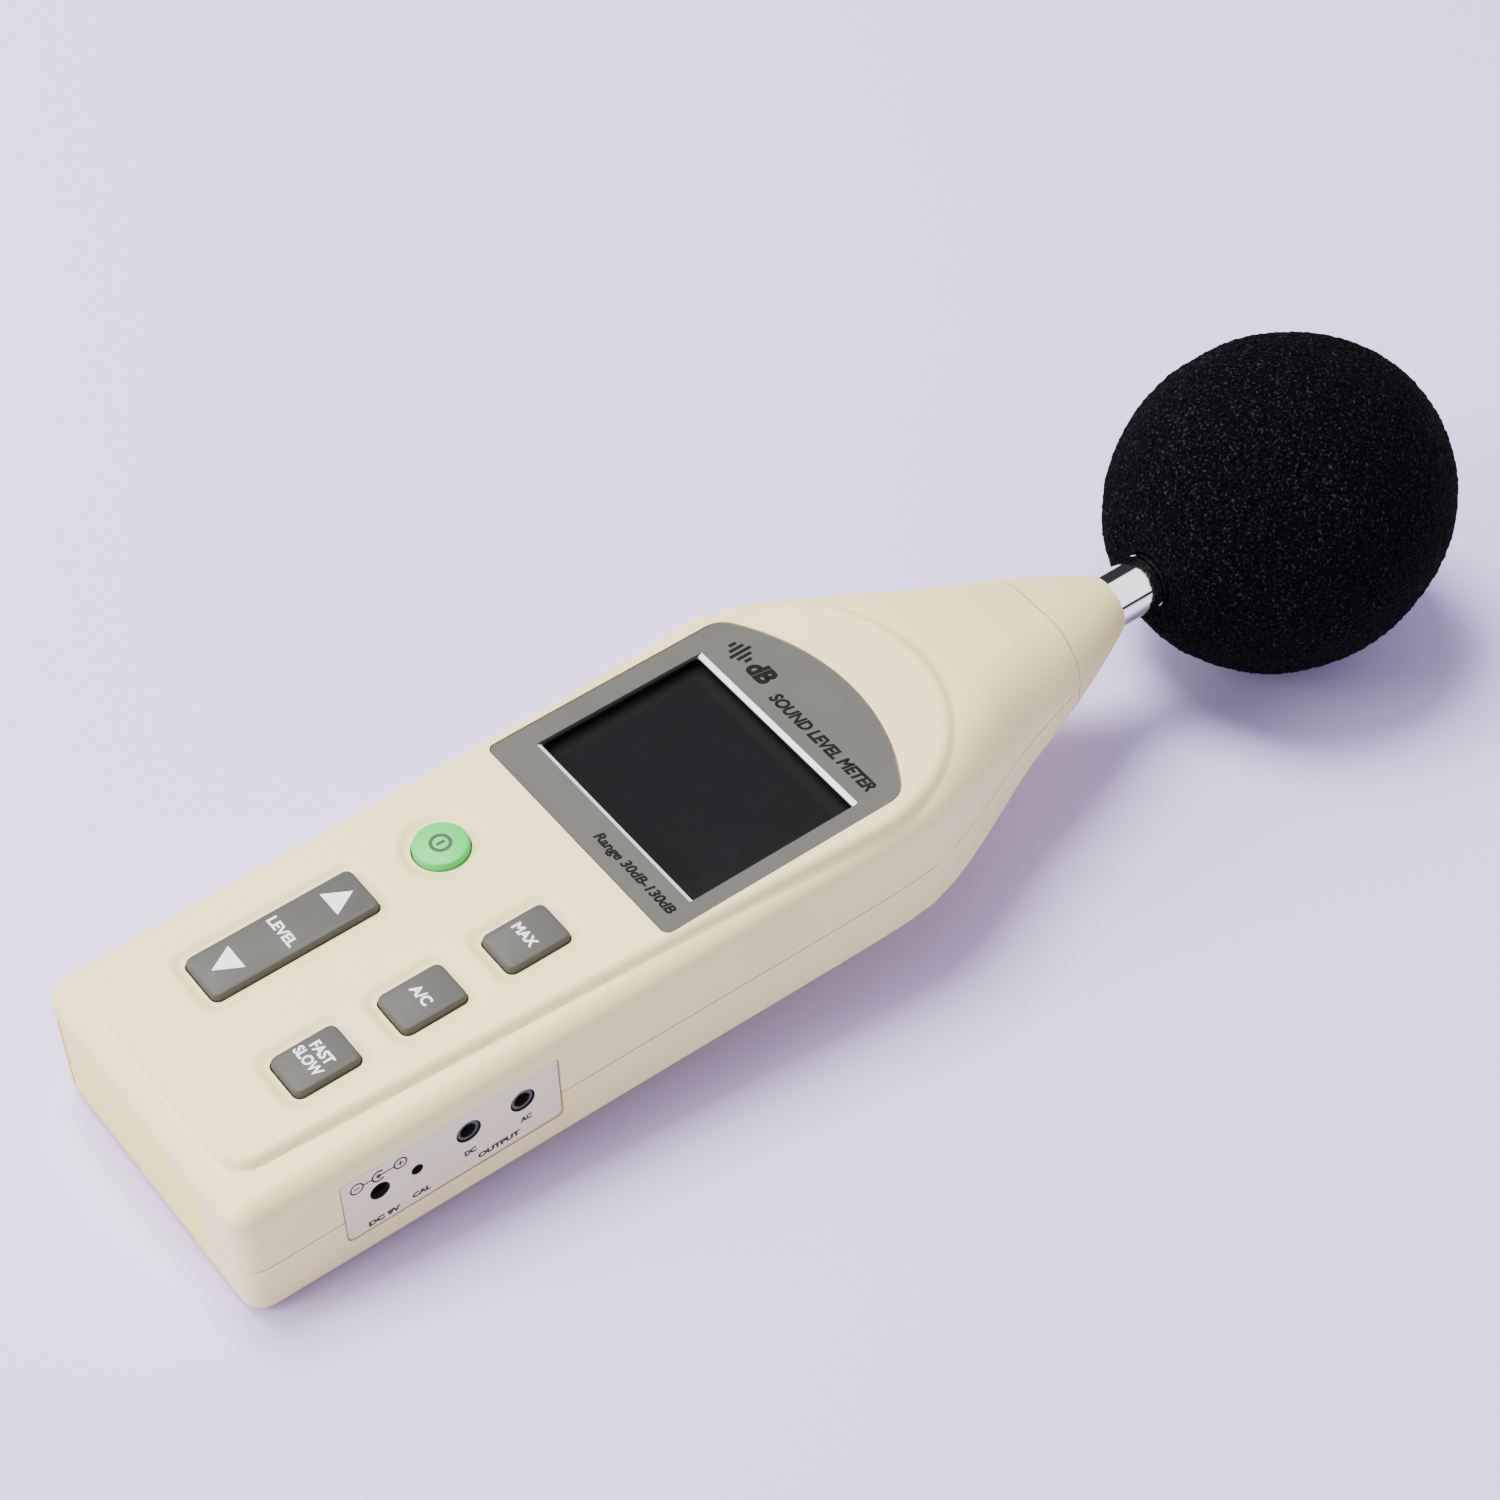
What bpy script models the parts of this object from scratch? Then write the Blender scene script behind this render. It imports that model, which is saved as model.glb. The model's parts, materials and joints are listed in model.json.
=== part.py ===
"""Hand-held sound level meter with a foam windscreen, as an assembly of separate pieces.

Sizes are in millimetres and become metres when a mesh is made. The origin is on the flat back
face, on the plane of symmetry. +Y points along the microphone, +Z out of the keypad face and
+X to the right-hand side, where the jacks are.
"""
import math

import bmesh
import bpy
import numpy as np
from mathutils import Vector

MM = 0.001
GAP = 0.3

# Housing: two shells that meet on a plane, with a raised keypad face on the front one.
# Each station: y, half width, shoulder height, underside height, upper radius, lower radius.
HOUSING_STATIONS = (
    (-104.4, 36.5, 32.1, 0.0, 4.8, 3.0),
    (-20.0, 36.9, 32.1, 0.0, 4.8, 3.0),
    (50.0, 37.5, 32.2, 0.0, 5.0, 3.0),
    (60.0, 36.9, 32.6, 0.0, 6.0, 3.0),
    (74.5, 32.7, 33.1, 0.1, 10.0, 3.6),
    (84.3, 28.6, 32.9, 0.4, 12.5, 4.6),
    (98.0, 22.9, 31.0, 0.9, 13.5, 6.5),
    (114.7, 17.6, 26.8, 1.9, 12.4, 8.5),
    (127.5, 12.4, 23.0, 3.4, 10.0, 8.3),
    (138.2, 7.2, 19.26, 4.86, 7.2, 7.2),
)
END_Y = -104.4
NOSE_SPLIT_Y = 117.0
NOSE_TIP_Y = 138.2
END_ROUND = 5.0
WALL = 2.4
FLOOR = 3.0
CAP_WALL = 1.8
PARTING_Z = 14.0
FACE_Z = 34.3
CEILING_Z = 31.7

# Raised face: straight flared sides and a round top end.
FACE_ARC_Y = 49.4
FACE_ARC_RADIUS = 35.4
FACE_END_Y = -99.0
FACE_END_HALF = 27.7
FACE_CORNER = 6.0
FACE_FOOT_Z = 32.0

# Display panel and its window.
PANEL_HALF = 31.0
PANEL_LOW_Y = -2.3
PANEL_TOP_Y = 66.8
PANEL_ARC_RADIUS = 51.0
PANEL_TOP_Z = 34.1
PANEL_POCKET_Z = 33.0
WINDOW_X = 0.7
WINDOW_Y = 27.2
WINDOW_SIZE = (53.0, 39.8)
WINDOW_BEVEL = 1.2

# Keys: x, y, width, length.
KEY_COLUMN_X = 15.0
KEY_FIRST_Y = -24.4
KEY_PITCH = 24.2
KEY_SIZE = (10.7, 14.8)
KEY_TOP_Z = 35.2
KEY_BOTTOM_Z = 29.2
KEY_FLANGE_TOP_Z = 31.0
KEY_FLANGE = 0.9
KEY_CLEARANCE = 0.35
DISH_DEPTH = 0.8
DISH_MARGIN = 3.2
POWER_RADIUS = 5.9
ROCKER_SIZE = (12.0, 38.2)
ROCKER_Y = -61.4
ROCKER_AXIS_Z = 31.5
ROCKER_SWITCH_REACH = 14.0

# Main board, its switches and the display stack.
BOARD_Z = (22.0, 23.6)
BOARD_HALF = 32.0
BOARD_Y = (-91.0, 66.0)
SWITCH_BODY_TOP_Z = 27.2
SWITCH_TOP_Z = 28.0

# Side panel with its sockets, on the +X wall.
JACK_PLATE_X = (35.0, 36.5)
JACK_PLATE_Y = (-82.3, -32.8)
JACK_PLATE_Z = (7.4, 24.9)
SOCKET_FACE_X = 34.6
DC_OUT = (-53.8, 18.9)
AC_OUT = (-41.3, 18.4)
POWER_IN = (-74.2, 17.2)
TRIMMER = (-65.8, 16.8)

# Bottom end plate.
END_PLATE_X = (-31.0, 21.5)
END_PLATE_Z = (3.8, 24.6)

# Microphone and windscreen, all turned about one axis.
MIC_Z = 12.06
TUBE_RADIUS = 6.35
TUBE_BORE = 5.65
TUBE_Y = (112.5, 150.0)
GRID_Y = (150.3, 163.2)
BALL_Y = 190.3
BALL_RADIUS = 38.0
BALL_HALF_LENGTH = 41.5
BALL_BORE = 6.75
BALL_BORE_END_Y = 166.0

# Battery bay, cover and case fasteners.
DOOR_HALF = 14.7
DOOR_Y = (-106.0, -45.5)
DOOR_TOP_Z = 2.0
DOOR_TONGUE = 1.3
DOOR_TONGUE_Z = (0.9, 1.7)
BATTERY_SIZE = (26.5, 46.4, 17.5)
BATTERY_LOW = (-98.3, 2.4)
TERMINAL_X = 6.35
CASE_SCREWS = ((-29.5, -96.5), (29.5, -96.5), (-20.0, 78.0), (20.0, 78.0))
BOARD_SCREWS = ((-28.5, -85.5), (28.5, -85.5), (-24.5, 60.0), (24.5, 60.0))
TRIPOD_Y = 22.0


# ---------------------------------------------------------------- materials and helpers

def make_material(name, colour, roughness, metallic=0.0, transmission=0.0):
    """Make a Principled material."""
    material = bpy.data.materials.new(name)
    material.use_nodes = True
    shader = material.node_tree.nodes["Principled BSDF"]
    shader.inputs["Base Color"].default_value = (*colour, 1.0)
    shader.inputs["Roughness"].default_value = roughness
    shader.inputs["Metallic"].default_value = metallic
    shader.inputs["Transmission Weight"].default_value = transmission
    material.diffuse_color = (*colour, 1.0)
    return material


def make_object(name, mesh, material):
    """Link a mesh to the scene as a named object."""
    obj = bpy.data.objects.new(name, mesh)
    bpy.context.collection.objects.link(obj)
    if material is not None:
        mesh.materials.append(material)
    return obj


def finish_mesh(name, bm, smooth_angle):
    """Turn a millimetre bmesh into a metre mesh with its faces pointing out."""
    bmesh.ops.recalc_face_normals(bm, faces=bm.faces)
    bmesh.ops.scale(bm, vec=(MM, MM, MM), verts=bm.verts)
    mesh = bpy.data.meshes.new(name)
    bm.to_mesh(mesh)
    bm.free()
    mesh.shade_smooth()
    mesh.set_sharp_from_angle(angle=math.radians(smooth_angle))
    return mesh


def loft(name, rings, material=None, closed=False, smooth_angle=35.0):
    """Skin a row of rings with the same number of points; closed joins the last to the first."""
    bm = bmesh.new()
    loops = [[bm.verts.new(point) for point in ring] for ring in rings]
    pairs = list(zip(loops[:-1], loops[1:]))
    if closed:
        pairs.append((loops[-1], loops[0]))
    for low, high in pairs:
        for i in range(len(low)):
            j = (i + 1) % len(low)
            bm.faces.new((low[i], low[j], high[j], high[i]))
    if not closed:
        bm.faces.new(list(reversed(loops[0])))
        bm.faces.new(loops[-1])
    return make_object(name, finish_mesh(name, bm, smooth_angle), material)


def turned(name, profile, axis, centre, material=None, closed=False, segments=32):
    """Turn (position, radius) pairs about an axis through centre; closed makes a tube."""
    rings = []
    for position, radius in profile:
        ring = []
        for i in range(segments):
            angle = 2.0 * math.pi * i / segments
            a, b = radius * math.cos(angle), radius * math.sin(angle)
            offset = {"X": (position, a, b), "Y": (b, position, a), "Z": (a, b, position)}[axis]
            ring.append(Vector(centre) + Vector(offset))
        rings.append(ring)
    return loft(name, rings, material, closed)


def arc(centre, radius, start, end, steps):
    """Points on an arc in the XY plane, angles in degrees."""
    angles = np.radians(np.linspace(start, end, steps + 1))
    return [(centre[0] + radius * math.cos(a), centre[1] + radius * math.sin(a)) for a in angles]


def rounded_rectangle(centre, size, radius, steps=3):
    """Outline of a rectangle with round corners, anticlockwise."""
    half_x, half_y = size[0] / 2.0 - radius, size[1] / 2.0 - radius
    corners = ((half_x, half_y, 0), (-half_x, half_y, 90), (-half_x, -half_y, 180), (half_x, -half_y, 270))
    outline = []
    for x, y, start in corners:
        outline += arc((centre[0] + x, centre[1] + y), radius, start, start + 90, steps)
    return outline


def at_height(outline, z):
    """Lift a flat outline to a height."""
    return [(x, y, z) for x, y in outline]


def prism(name, outline, low, high, material=None, axis="Z"):
    """Extrude an outline: along Z, or along X or Y with the outline read as (Y, Z) or (Z, X)."""
    def place(a, b, c):
        return {"Z": (a, b, c), "X": (c, a, b), "Y": (b, c, a)}[axis]

    rings = [[place(a, b, c) for a, b in outline] for c in (low, high)]
    return loft(name, rings, material)


def block(name, low, high, material=None):
    """A plain box between two corners."""
    outline = ((low[0], low[1]), (high[0], low[1]), (high[0], high[1]), (low[0], high[1]))
    return prism(name, outline, low[2], high[2], material)


def combine(target, other, operation):
    """Add an exact Boolean to target and turn other into a hidden guide."""
    other.hide_render = True
    other.display_type = "WIRE"
    modifier = target.modifiers.new(other.name, "BOOLEAN")
    modifier.operation = operation
    modifier.solver = "EXACT"
    modifier.object = other


def cut(target, *cutters):
    for cutter in cutters:
        combine(target, cutter, "DIFFERENCE")


def fuse(target, *additions):
    for addition in additions:
        combine(target, addition, "UNION")


def wire(name, points, radius, material):
    """A round lead along a smooth curve through the given points."""
    path = smooth_path(points, 4)
    curve = bpy.data.curves.new(name, "CURVE")
    curve.dimensions = "3D"
    curve.bevel_depth = radius * MM
    curve.bevel_resolution = 2
    curve.use_fill_caps = True
    spline = curve.splines.new("POLY")
    spline.points.add(len(path) - 1)
    for point, place in zip(spline.points, path):
        point.co = (*(Vector(place) * MM), 1.0)
    obj = bpy.data.objects.new(name, curve)
    curve.materials.append(material)
    bpy.context.collection.objects.link(obj)
    return obj


def smooth_path(points, steps):
    """Catmull-Rom curve through the points."""
    knots = [Vector(p) for p in points]
    knots = [2 * knots[0] - knots[1], *knots, 2 * knots[-1] - knots[-2]]
    path = []
    for a, b, c, d in zip(knots[:-3], knots[1:-2], knots[2:-1], knots[3:]):
        for i in range(steps):
            t = i / steps
            path.append(0.5 * (2 * b + (c - a) * t + (2 * a - 5 * b + 4 * c - d) * t ** 2
                               + (3 * b - a - 3 * c + d) * t ** 3))
    path.append(knots[-2])
    return path


# ---------------------------------------------------------------- housing shapes

def monotone(y):
    """Read every housing measure at y, on a curve that never overshoots its stations."""
    table = np.array(HOUSING_STATIONS)
    places, values = table[:, 0], table[:, 1:]
    steps = np.diff(places)[:, None]
    secants = np.diff(values, axis=0) / steps
    slopes = np.zeros_like(values)
    product = secants[:-1] * secants[1:]
    total = secants[:-1] + secants[1:]
    rising = product > 0
    slopes[1:-1][rising] = 2.0 * product[rising] / total[rising]
    slopes[0], slopes[-1] = secants[0], secants[-1]
    i = int(np.clip(np.searchsorted(places, y) - 1, 0, len(places) - 2))
    h = places[i + 1] - places[i]
    t = (y - places[i]) / h
    near = (1 + 2 * t) * (1 - t) ** 2 * values[i] + t * (1 - t) ** 2 * h * slopes[i]
    far = t ** 2 * (3 - 2 * t) * values[i + 1] + t ** 2 * (t - 1) * h * slopes[i + 1]
    return near + far


def housing_ring(y, inset, floor_inset, steps):
    """Rounded cross-section of the housing at y, pulled in by inset."""
    half, top, under, upper, lower = monotone(y)
    half, top, under = half - inset, top - inset, under + floor_inset
    upper = max(min(upper - inset, half, (top - under) / 2), 0.8)
    lower = max(min(lower - floor_inset, half, (top - under) / 2), 0.8)
    outline = arc((half - upper, top - upper), upper, 0, 90, steps)
    outline += arc((upper - half, top - upper), upper, 90, 180, steps)
    outline += arc((lower - half, under + lower), lower, 180, 270, steps)
    outline += arc((half - lower, under + lower), lower, 270, 360, steps)
    return [(x, y, z) for x, z in outline]


def housing_body(name, start, end, steps=5):
    """Outer form of the housing, with its bottom end rounded over."""
    rings = []
    if start == END_Y:
        for angle in (0, 22.5, 45, 67.5):
            turn = math.radians(angle)
            inset = END_ROUND * (1 - math.sin(turn))
            shift = END_ROUND * (1 - math.cos(turn))
            ring = housing_ring(END_Y, inset, inset * 0.6, steps)
            rings.append([(x, END_Y + shift, z) for x, _, z in ring])
        start = END_Y + END_ROUND
    count = max(2, round((end - start) / 6.5))
    for y in np.linspace(start, end, count + 1):
        rings.append(housing_ring(float(y), 0.0, 0.0, steps))
    return loft(name, rings, None, smooth_angle=40)


def housing_cavity(name):
    """Room inside the housing."""
    rings = [housing_ring(float(y), WALL, FLOOR, 3) for y in np.linspace(END_Y + WALL + 0.2, 118.0, 20)]
    return loft(name, rings)


def face_outline(inset):
    """Outline of the raised face, anticlockwise from its right-hand arc end."""
    radius = FACE_ARC_RADIUS - inset
    outline = arc((0.0, FACE_ARC_Y), radius, 0, 180, 24)
    half = FACE_END_HALF - inset
    corner = FACE_CORNER - inset * 0.6
    low = FACE_END_Y + inset
    outline += arc((corner - half, low + corner), corner, 180, 270, 5)
    outline += arc((half - corner, low + corner), corner, 270, 360, 5)
    return outline


def raised_face(name):
    """Slab that stands proud of the front shell, with a rounded rim."""
    rim = ((0.0, 28.0), (0.0, FACE_FOOT_Z), (0.3, 33.1), (0.9, 33.9), (1.9, FACE_Z))
    return loft(name, [at_height(face_outline(inset), z) for inset, z in rim])


def panel_outline(grow):
    """Outline of the display panel: straight sides and a shallow arched top."""
    half = PANEL_HALF + grow
    corner = 1.6 + grow
    low = PANEL_LOW_Y - grow
    top_radius = PANEL_ARC_RADIUS + grow
    arch_centre = PANEL_TOP_Y - PANEL_ARC_RADIUS
    blend = 6.0 + grow
    reach = math.acos((half - blend) / (top_radius - blend))
    blend_y = arch_centre + (top_radius - blend) * math.sin(reach)
    angle = math.degrees(reach)
    outline = arc((half - blend, blend_y), blend, 0, angle, 4)
    outline += arc((0.0, arch_centre), top_radius, angle, 180 - angle, 14)[1:-1]
    outline += arc((blend - half, blend_y), blend, 180 - angle, 180, 4)
    outline += arc((corner - half, low + corner), corner, 180, 270, 3)
    outline += arc((half - corner, low + corner), corner, 270, 360, 3)
    return outline


def dish(name, outline_at):
    """Shallow recess round a key, from a function that gives its outline at a margin."""
    rim = ((DISH_MARGIN, FACE_Z + 0.4), (DISH_MARGIN, FACE_Z))
    steps = (*rim, (1.9, FACE_Z - 0.55), (1.0, FACE_Z - DISH_DEPTH))
    return loft(name, [at_height(outline_at(margin), z) for margin, z in reversed(steps)])


def rectangle_key_outline(x, y, size):
    """Outline function of a rectangular key."""
    def outline_at(margin):
        grown = (size[0] + 2 * margin, size[1] + 2 * margin)
        return rounded_rectangle((x, y), grown, 1.6 + margin * 0.8)
    return outline_at


def round_key_outline(x, y, radius):
    """Outline function of a round key."""
    def outline_at(margin):
        return arc((x, y), radius + margin, 0, 345, 23)
    return outline_at


KEY_SHAPES = {
    "power_key": round_key_outline(-KEY_COLUMN_X, KEY_FIRST_Y, POWER_RADIUS),
    "max_key": rectangle_key_outline(KEY_COLUMN_X, KEY_FIRST_Y, KEY_SIZE),
    "weighting_key": rectangle_key_outline(KEY_COLUMN_X, KEY_FIRST_Y - KEY_PITCH, KEY_SIZE),
    "response_key": rectangle_key_outline(KEY_COLUMN_X, KEY_FIRST_Y - 2 * KEY_PITCH, KEY_SIZE),
    "level_rocker": rectangle_key_outline(-KEY_COLUMN_X, ROCKER_Y, ROCKER_SIZE),
}


# ---------------------------------------------------------------- housing pieces

def window_cutter(name, grow, low, high):
    size = (WINDOW_SIZE[0] + 2 * grow, WINDOW_SIZE[1] + 2 * grow)
    return prism(name, rounded_rectangle((WINDOW_X, WINDOW_Y), size, 0.8, 2), low, high)


def jack_opening(name):
    """Opening for the side panel, through the +X wall of both shells."""
    size = (JACK_PLATE_Y[1] - JACK_PLATE_Y[0] + 2 * GAP, JACK_PLATE_Z[1] - JACK_PLATE_Z[0] + 2 * GAP)
    centre = (sum(JACK_PLATE_Y) / 2, sum(JACK_PLATE_Z) / 2)
    return prism(name, rounded_rectangle(centre, size, 1.5), 33.0, 39.0, axis="X")


def end_recess(name):
    """Shallow pocket for the end plate, across both shells."""
    low = (END_PLATE_X[0] - GAP, END_Y - 2.0, END_PLATE_Z[0] - GAP)
    high = (END_PLATE_X[1] + GAP, END_Y + 1.4, END_PLATE_Z[1] + GAP)
    return block(name, low, high)


def make_front_shell(plastic):
    shell = housing_body("front_shell", END_Y, NOSE_TIP_Y)
    shell.data.materials.append(plastic)
    fuse(shell, raised_face("guide_face"))
    cut(shell, housing_cavity("guide_front_cavity"))
    pocket = prism("guide_ceiling", face_outline(2.4), 26.0, CEILING_Z)
    cut(shell, pocket)
    for i, (x, y) in enumerate(CASE_SCREWS):
        top = 30.3 if y < 0 else 31.2
        fuse(shell, turned(f"guide_boss_{i}", ((10.0, 3.5), (top, 3.5)), "Z", (x, y, 0), segments=20))
        cut(shell, turned(f"guide_boss_hole_{i}", ((9.0, 1.6), (27.0, 1.6)), "Z", (x, y, 0), segments=16))
    for i, (x, y) in enumerate(BOARD_SCREWS):
        low = BOARD_Z[1] + GAP
        top = 31.0 if y < 0 else 32.4
        fuse(shell, turned(f"guide_post_{i}", ((low, 2.5), (top, 2.5)), "Z", (x, y, 0), segments=16))
        cut(shell, turned(f"guide_post_hole_{i}", ((20.0, 1.2), (30.4, 1.2)), "Z", (x, y, 0), segments=12))
    cut(shell, block("guide_below_parting", (-60, -120, -5), (60, 150, PARTING_Z + GAP / 2)))
    cut(shell, block("guide_front_nose", (-40, NOSE_SPLIT_Y - GAP / 2, -5), (40, 150, 40)))
    cut(shell, prism("guide_panel_pocket", panel_outline(0.25), PANEL_POCKET_Z, 36.0))
    cut(shell, window_cutter("guide_front_window", 0.2, 29.0, 36.0))
    for key, outline_at in KEY_SHAPES.items():
        cut(shell, dish(f"guide_dish_{key}", outline_at))
        cut(shell, prism(f"guide_hole_{key}", outline_at(KEY_CLEARANCE), 29.0, 36.0))
    cut(shell, jack_opening("guide_front_jacks"), end_recess("guide_front_end"))
    return shell


def make_rear_shell(plastic):
    shell = housing_body("rear_shell", END_Y, NOSE_TIP_Y)
    shell.data.materials.append(plastic)
    cut(shell, housing_cavity("guide_rear_cavity"))
    wall_low, wall_high = FLOOR - 0.6, PARTING_Z - 0.8
    inner, outer = DOOR_HALF + 1.1, DOOR_HALF + 2.7
    for side in (-1, 1):
        low_x, high_x = sorted((side * inner, side * outer))
        fuse(shell, block(f"guide_bay_wall_{side}", (low_x, -102.6, wall_low), (high_x, -43.4, wall_high)))
    end = outer - 0.4
    fuse(shell, block("guide_bay_end", (-end, -44.9, wall_low), (end, -43.5, wall_high - 0.5)))
    for i, (x, y) in enumerate(CASE_SCREWS):
        fuse(shell, turned(f"guide_pillar_{i}", ((1.0, 4.5), (20.0, 4.5)), "Z", (x, y, 0), segments=20))
    fuse(shell, turned("guide_tripod_boss", ((1.0, 8.0), (11.5, 8.0)), "Z", (0, TRIPOD_Y, 0), segments=24))
    cut(shell, block("guide_above_parting", (-60, -120, PARTING_Z - GAP / 2), (60, 150, 50)))
    for i, (x, y) in enumerate(CASE_SCREWS):
        steps = ((-1.0, 3.3), (8.0, 3.3), (8.0, 1.65), (15.0, 1.65))
        cut(shell, turned(f"guide_bore_{i}", steps, "Z", (x, y, 0), segments=20))
    cut(shell, turned("guide_tripod_bore", ((-1.0, 5.3), (9.2, 5.3)), "Z", (0, TRIPOD_Y, 0), segments=24))
    cut(shell, block("guide_rear_nose", (-40, NOSE_SPLIT_Y - GAP / 2, -5), (40, 150, 40)))
    reach = DOOR_HALF + GAP
    cut(shell, block("guide_door_way", (-reach, -110, -1), (reach, DOOR_Y[1] + GAP, FLOOR + 0.2)))
    groove = reach + DOOR_TONGUE
    low_z, high_z = DOOR_TONGUE_Z[0] - GAP, DOOR_TONGUE_Z[1] + GAP
    cut(shell, block("guide_door_groove", (-groove, -110, low_z), (groove, -49.0, high_z)))
    cut(shell, jack_opening("guide_rear_jacks"), end_recess("guide_rear_end"))
    return shell


def make_nose_cap(plastic):
    """Tapered ring that holds the two shells together round the microphone tube."""
    cap = housing_body("nose_cap", NOSE_SPLIT_Y + GAP / 2, NOSE_TIP_Y, 6)
    cap.data.materials.append(plastic)
    hollow = [housing_ring(y, CAP_WALL, CAP_WALL, 4) for y in (116.0, 121.0, 126.0, 130.0)]
    cut(cap, loft("guide_cap_hollow", hollow))
    bore = TUBE_RADIUS + GAP
    cut(cap, turned("guide_cap_bore", ((110.0, bore), (145.0, bore)), "Y", (0, 0, MIC_Z), segments=32))
    return cap


def make_battery_cover(plastic):
    """Sliding cover, cut to the housing's own end, with side tongues and finger grooves."""
    corner = (DOOR_HALF, DOOR_Y[1], DOOR_TOP_Z)
    cover = block("battery_cover", (-DOOR_HALF, DOOR_Y[0], -0.5), corner, plastic)
    reach = DOOR_HALF + DOOR_TONGUE
    tongue = block("guide_tongue", (-reach, -98.0, DOOR_TONGUE_Z[0]), (reach, -50.0, DOOR_TONGUE_Z[1]))
    fuse(cover, tongue)
    combine(cover, housing_body("guide_cover_form", END_Y, NOSE_TIP_Y), "INTERSECT")
    for i in range(5):
        y = -92.0 + 2.4 * i
        cut(cover, block(f"guide_grip_{i}", (-8.0, y, -1.0), (8.0, y + 1.1, 0.5)))
    return cover


def make_panel(grey):
    """Display panel with sloping edges above and below its window."""
    panel = prism("display_panel", panel_outline(0.0), PANEL_POCKET_Z + 0.15, PANEL_TOP_Z, grey)
    cut(panel, window_cutter("guide_panel_window", 0.0, 32.0, 36.0))
    slope = []
    for rise, spread in ((-0.9, 0.0), (0.1, WINDOW_BEVEL), (0.6, WINDOW_BEVEL + 0.6)):
        size = (WINDOW_SIZE[0] + 0.1, WINDOW_SIZE[1] + 2 * spread)
        outline = rounded_rectangle((WINDOW_X, WINDOW_Y), size, 0.5, 2)
        slope.append(at_height(outline, PANEL_TOP_Z + rise))
    cut(panel, loft("guide_panel_slope", slope))
    return panel


def make_jack_plate(grey):
    """Side panel with its four holes."""
    size = (JACK_PLATE_Y[1] - JACK_PLATE_Y[0], JACK_PLATE_Z[1] - JACK_PLATE_Z[0])
    centre = (sum(JACK_PLATE_Y) / 2, sum(JACK_PLATE_Z) / 2)
    plate = prism("jack_plate", rounded_rectangle(centre, size, 1.3), *JACK_PLATE_X, grey, axis="X")
    holes = {"dc": (DC_OUT, 2.8), "ac": (AC_OUT, 2.8), "power": (POWER_IN, 2.2), "trimmer": (TRIMMER, 1.3)}
    for name, ((y, z), radius) in holes.items():
        bore = ((30.0, radius), (40.0, radius))
        cut(plate, turned(f"guide_plate_{name}", bore, "X", (0, y, z), segments=24))
    return plate


# ---------------------------------------------------------------- keys and switches

def make_key(name, material):
    """Key cap with a flange that keeps it in the shell and a softly rounded top edge."""
    outline_at = KEY_SHAPES[name]
    profile = (
        (KEY_FLANGE, KEY_BOTTOM_Z), (KEY_FLANGE, KEY_FLANGE_TOP_Z), (0.0, KEY_FLANGE_TOP_Z),
        (0.0, KEY_TOP_Z - 0.6), (-0.2, KEY_TOP_Z - 0.2), (-0.7, KEY_TOP_Z),
    )
    centre = key_centre(name)
    rings = []
    for margin, z in profile:
        rings.append([Vector(p) - centre for p in at_height(outline_at(margin), z)])
    key = loft(name, rings, material)
    key.location = centre * MM
    return key


def make_rocker(material):
    """Long two-way key that tips about a cross axis on two side ears."""
    outline_at = KEY_SHAPES["level_rocker"]
    top = ((-0.2, KEY_TOP_Z - 0.2), (-0.7, KEY_TOP_Z))
    profile = ((0.0, KEY_BOTTOM_Z + 0.3), (0.0, KEY_TOP_Z - 0.6), *top)
    centre = key_centre("level_rocker")
    rings = [[Vector(p) - centre for p in at_height(outline_at(margin), z)] for margin, z in profile]
    rocker = loft("level_rocker", rings, material)
    rocker.location = centre * MM
    reach = ROCKER_SIZE[0] / 2 + 1.2
    low = (-KEY_COLUMN_X - reach, ROCKER_Y - 2.5, KEY_BOTTOM_Z + 0.5)
    high = (-KEY_COLUMN_X + reach, ROCKER_Y + 2.5, KEY_FLANGE_TOP_Z)
    fuse(rocker, block("guide_rocker_ears", low, high))
    return rocker


def key_centre(name):
    """Origin of a key: on its own travel or tipping axis."""
    if name == "level_rocker":
        return Vector((-KEY_COLUMN_X, ROCKER_Y, ROCKER_AXIS_Z))
    rows = {"power_key": (-KEY_COLUMN_X, 0), "max_key": (KEY_COLUMN_X, 0),
            "weighting_key": (KEY_COLUMN_X, 1), "response_key": (KEY_COLUMN_X, 2)}
    x, row = rows[name]
    return Vector((x, KEY_FIRST_Y - row * KEY_PITCH, KEY_BOTTOM_Z))


def make_switch(name, x, y, material):
    """Square push switch with a round plunger."""
    base = BOARD_Z[1] + GAP
    square = []
    for px, py in arc((0.0, 0.0), 1.0, 0, 337.5, 15):
        reach = 3.0 / max(abs(px), abs(py))
        square.append((x + px * reach, y + py * reach))
    rings = [at_height(square, base), at_height(square, SWITCH_BODY_TOP_Z)]
    plunger = arc((x, y), 1.7, 0, 337.5, 15)
    rings += [at_height(plunger, SWITCH_BODY_TOP_Z), at_height(plunger, SWITCH_TOP_Z)]
    return loft(name, rings, material)


# ---------------------------------------------------------------- display and electronics

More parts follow.
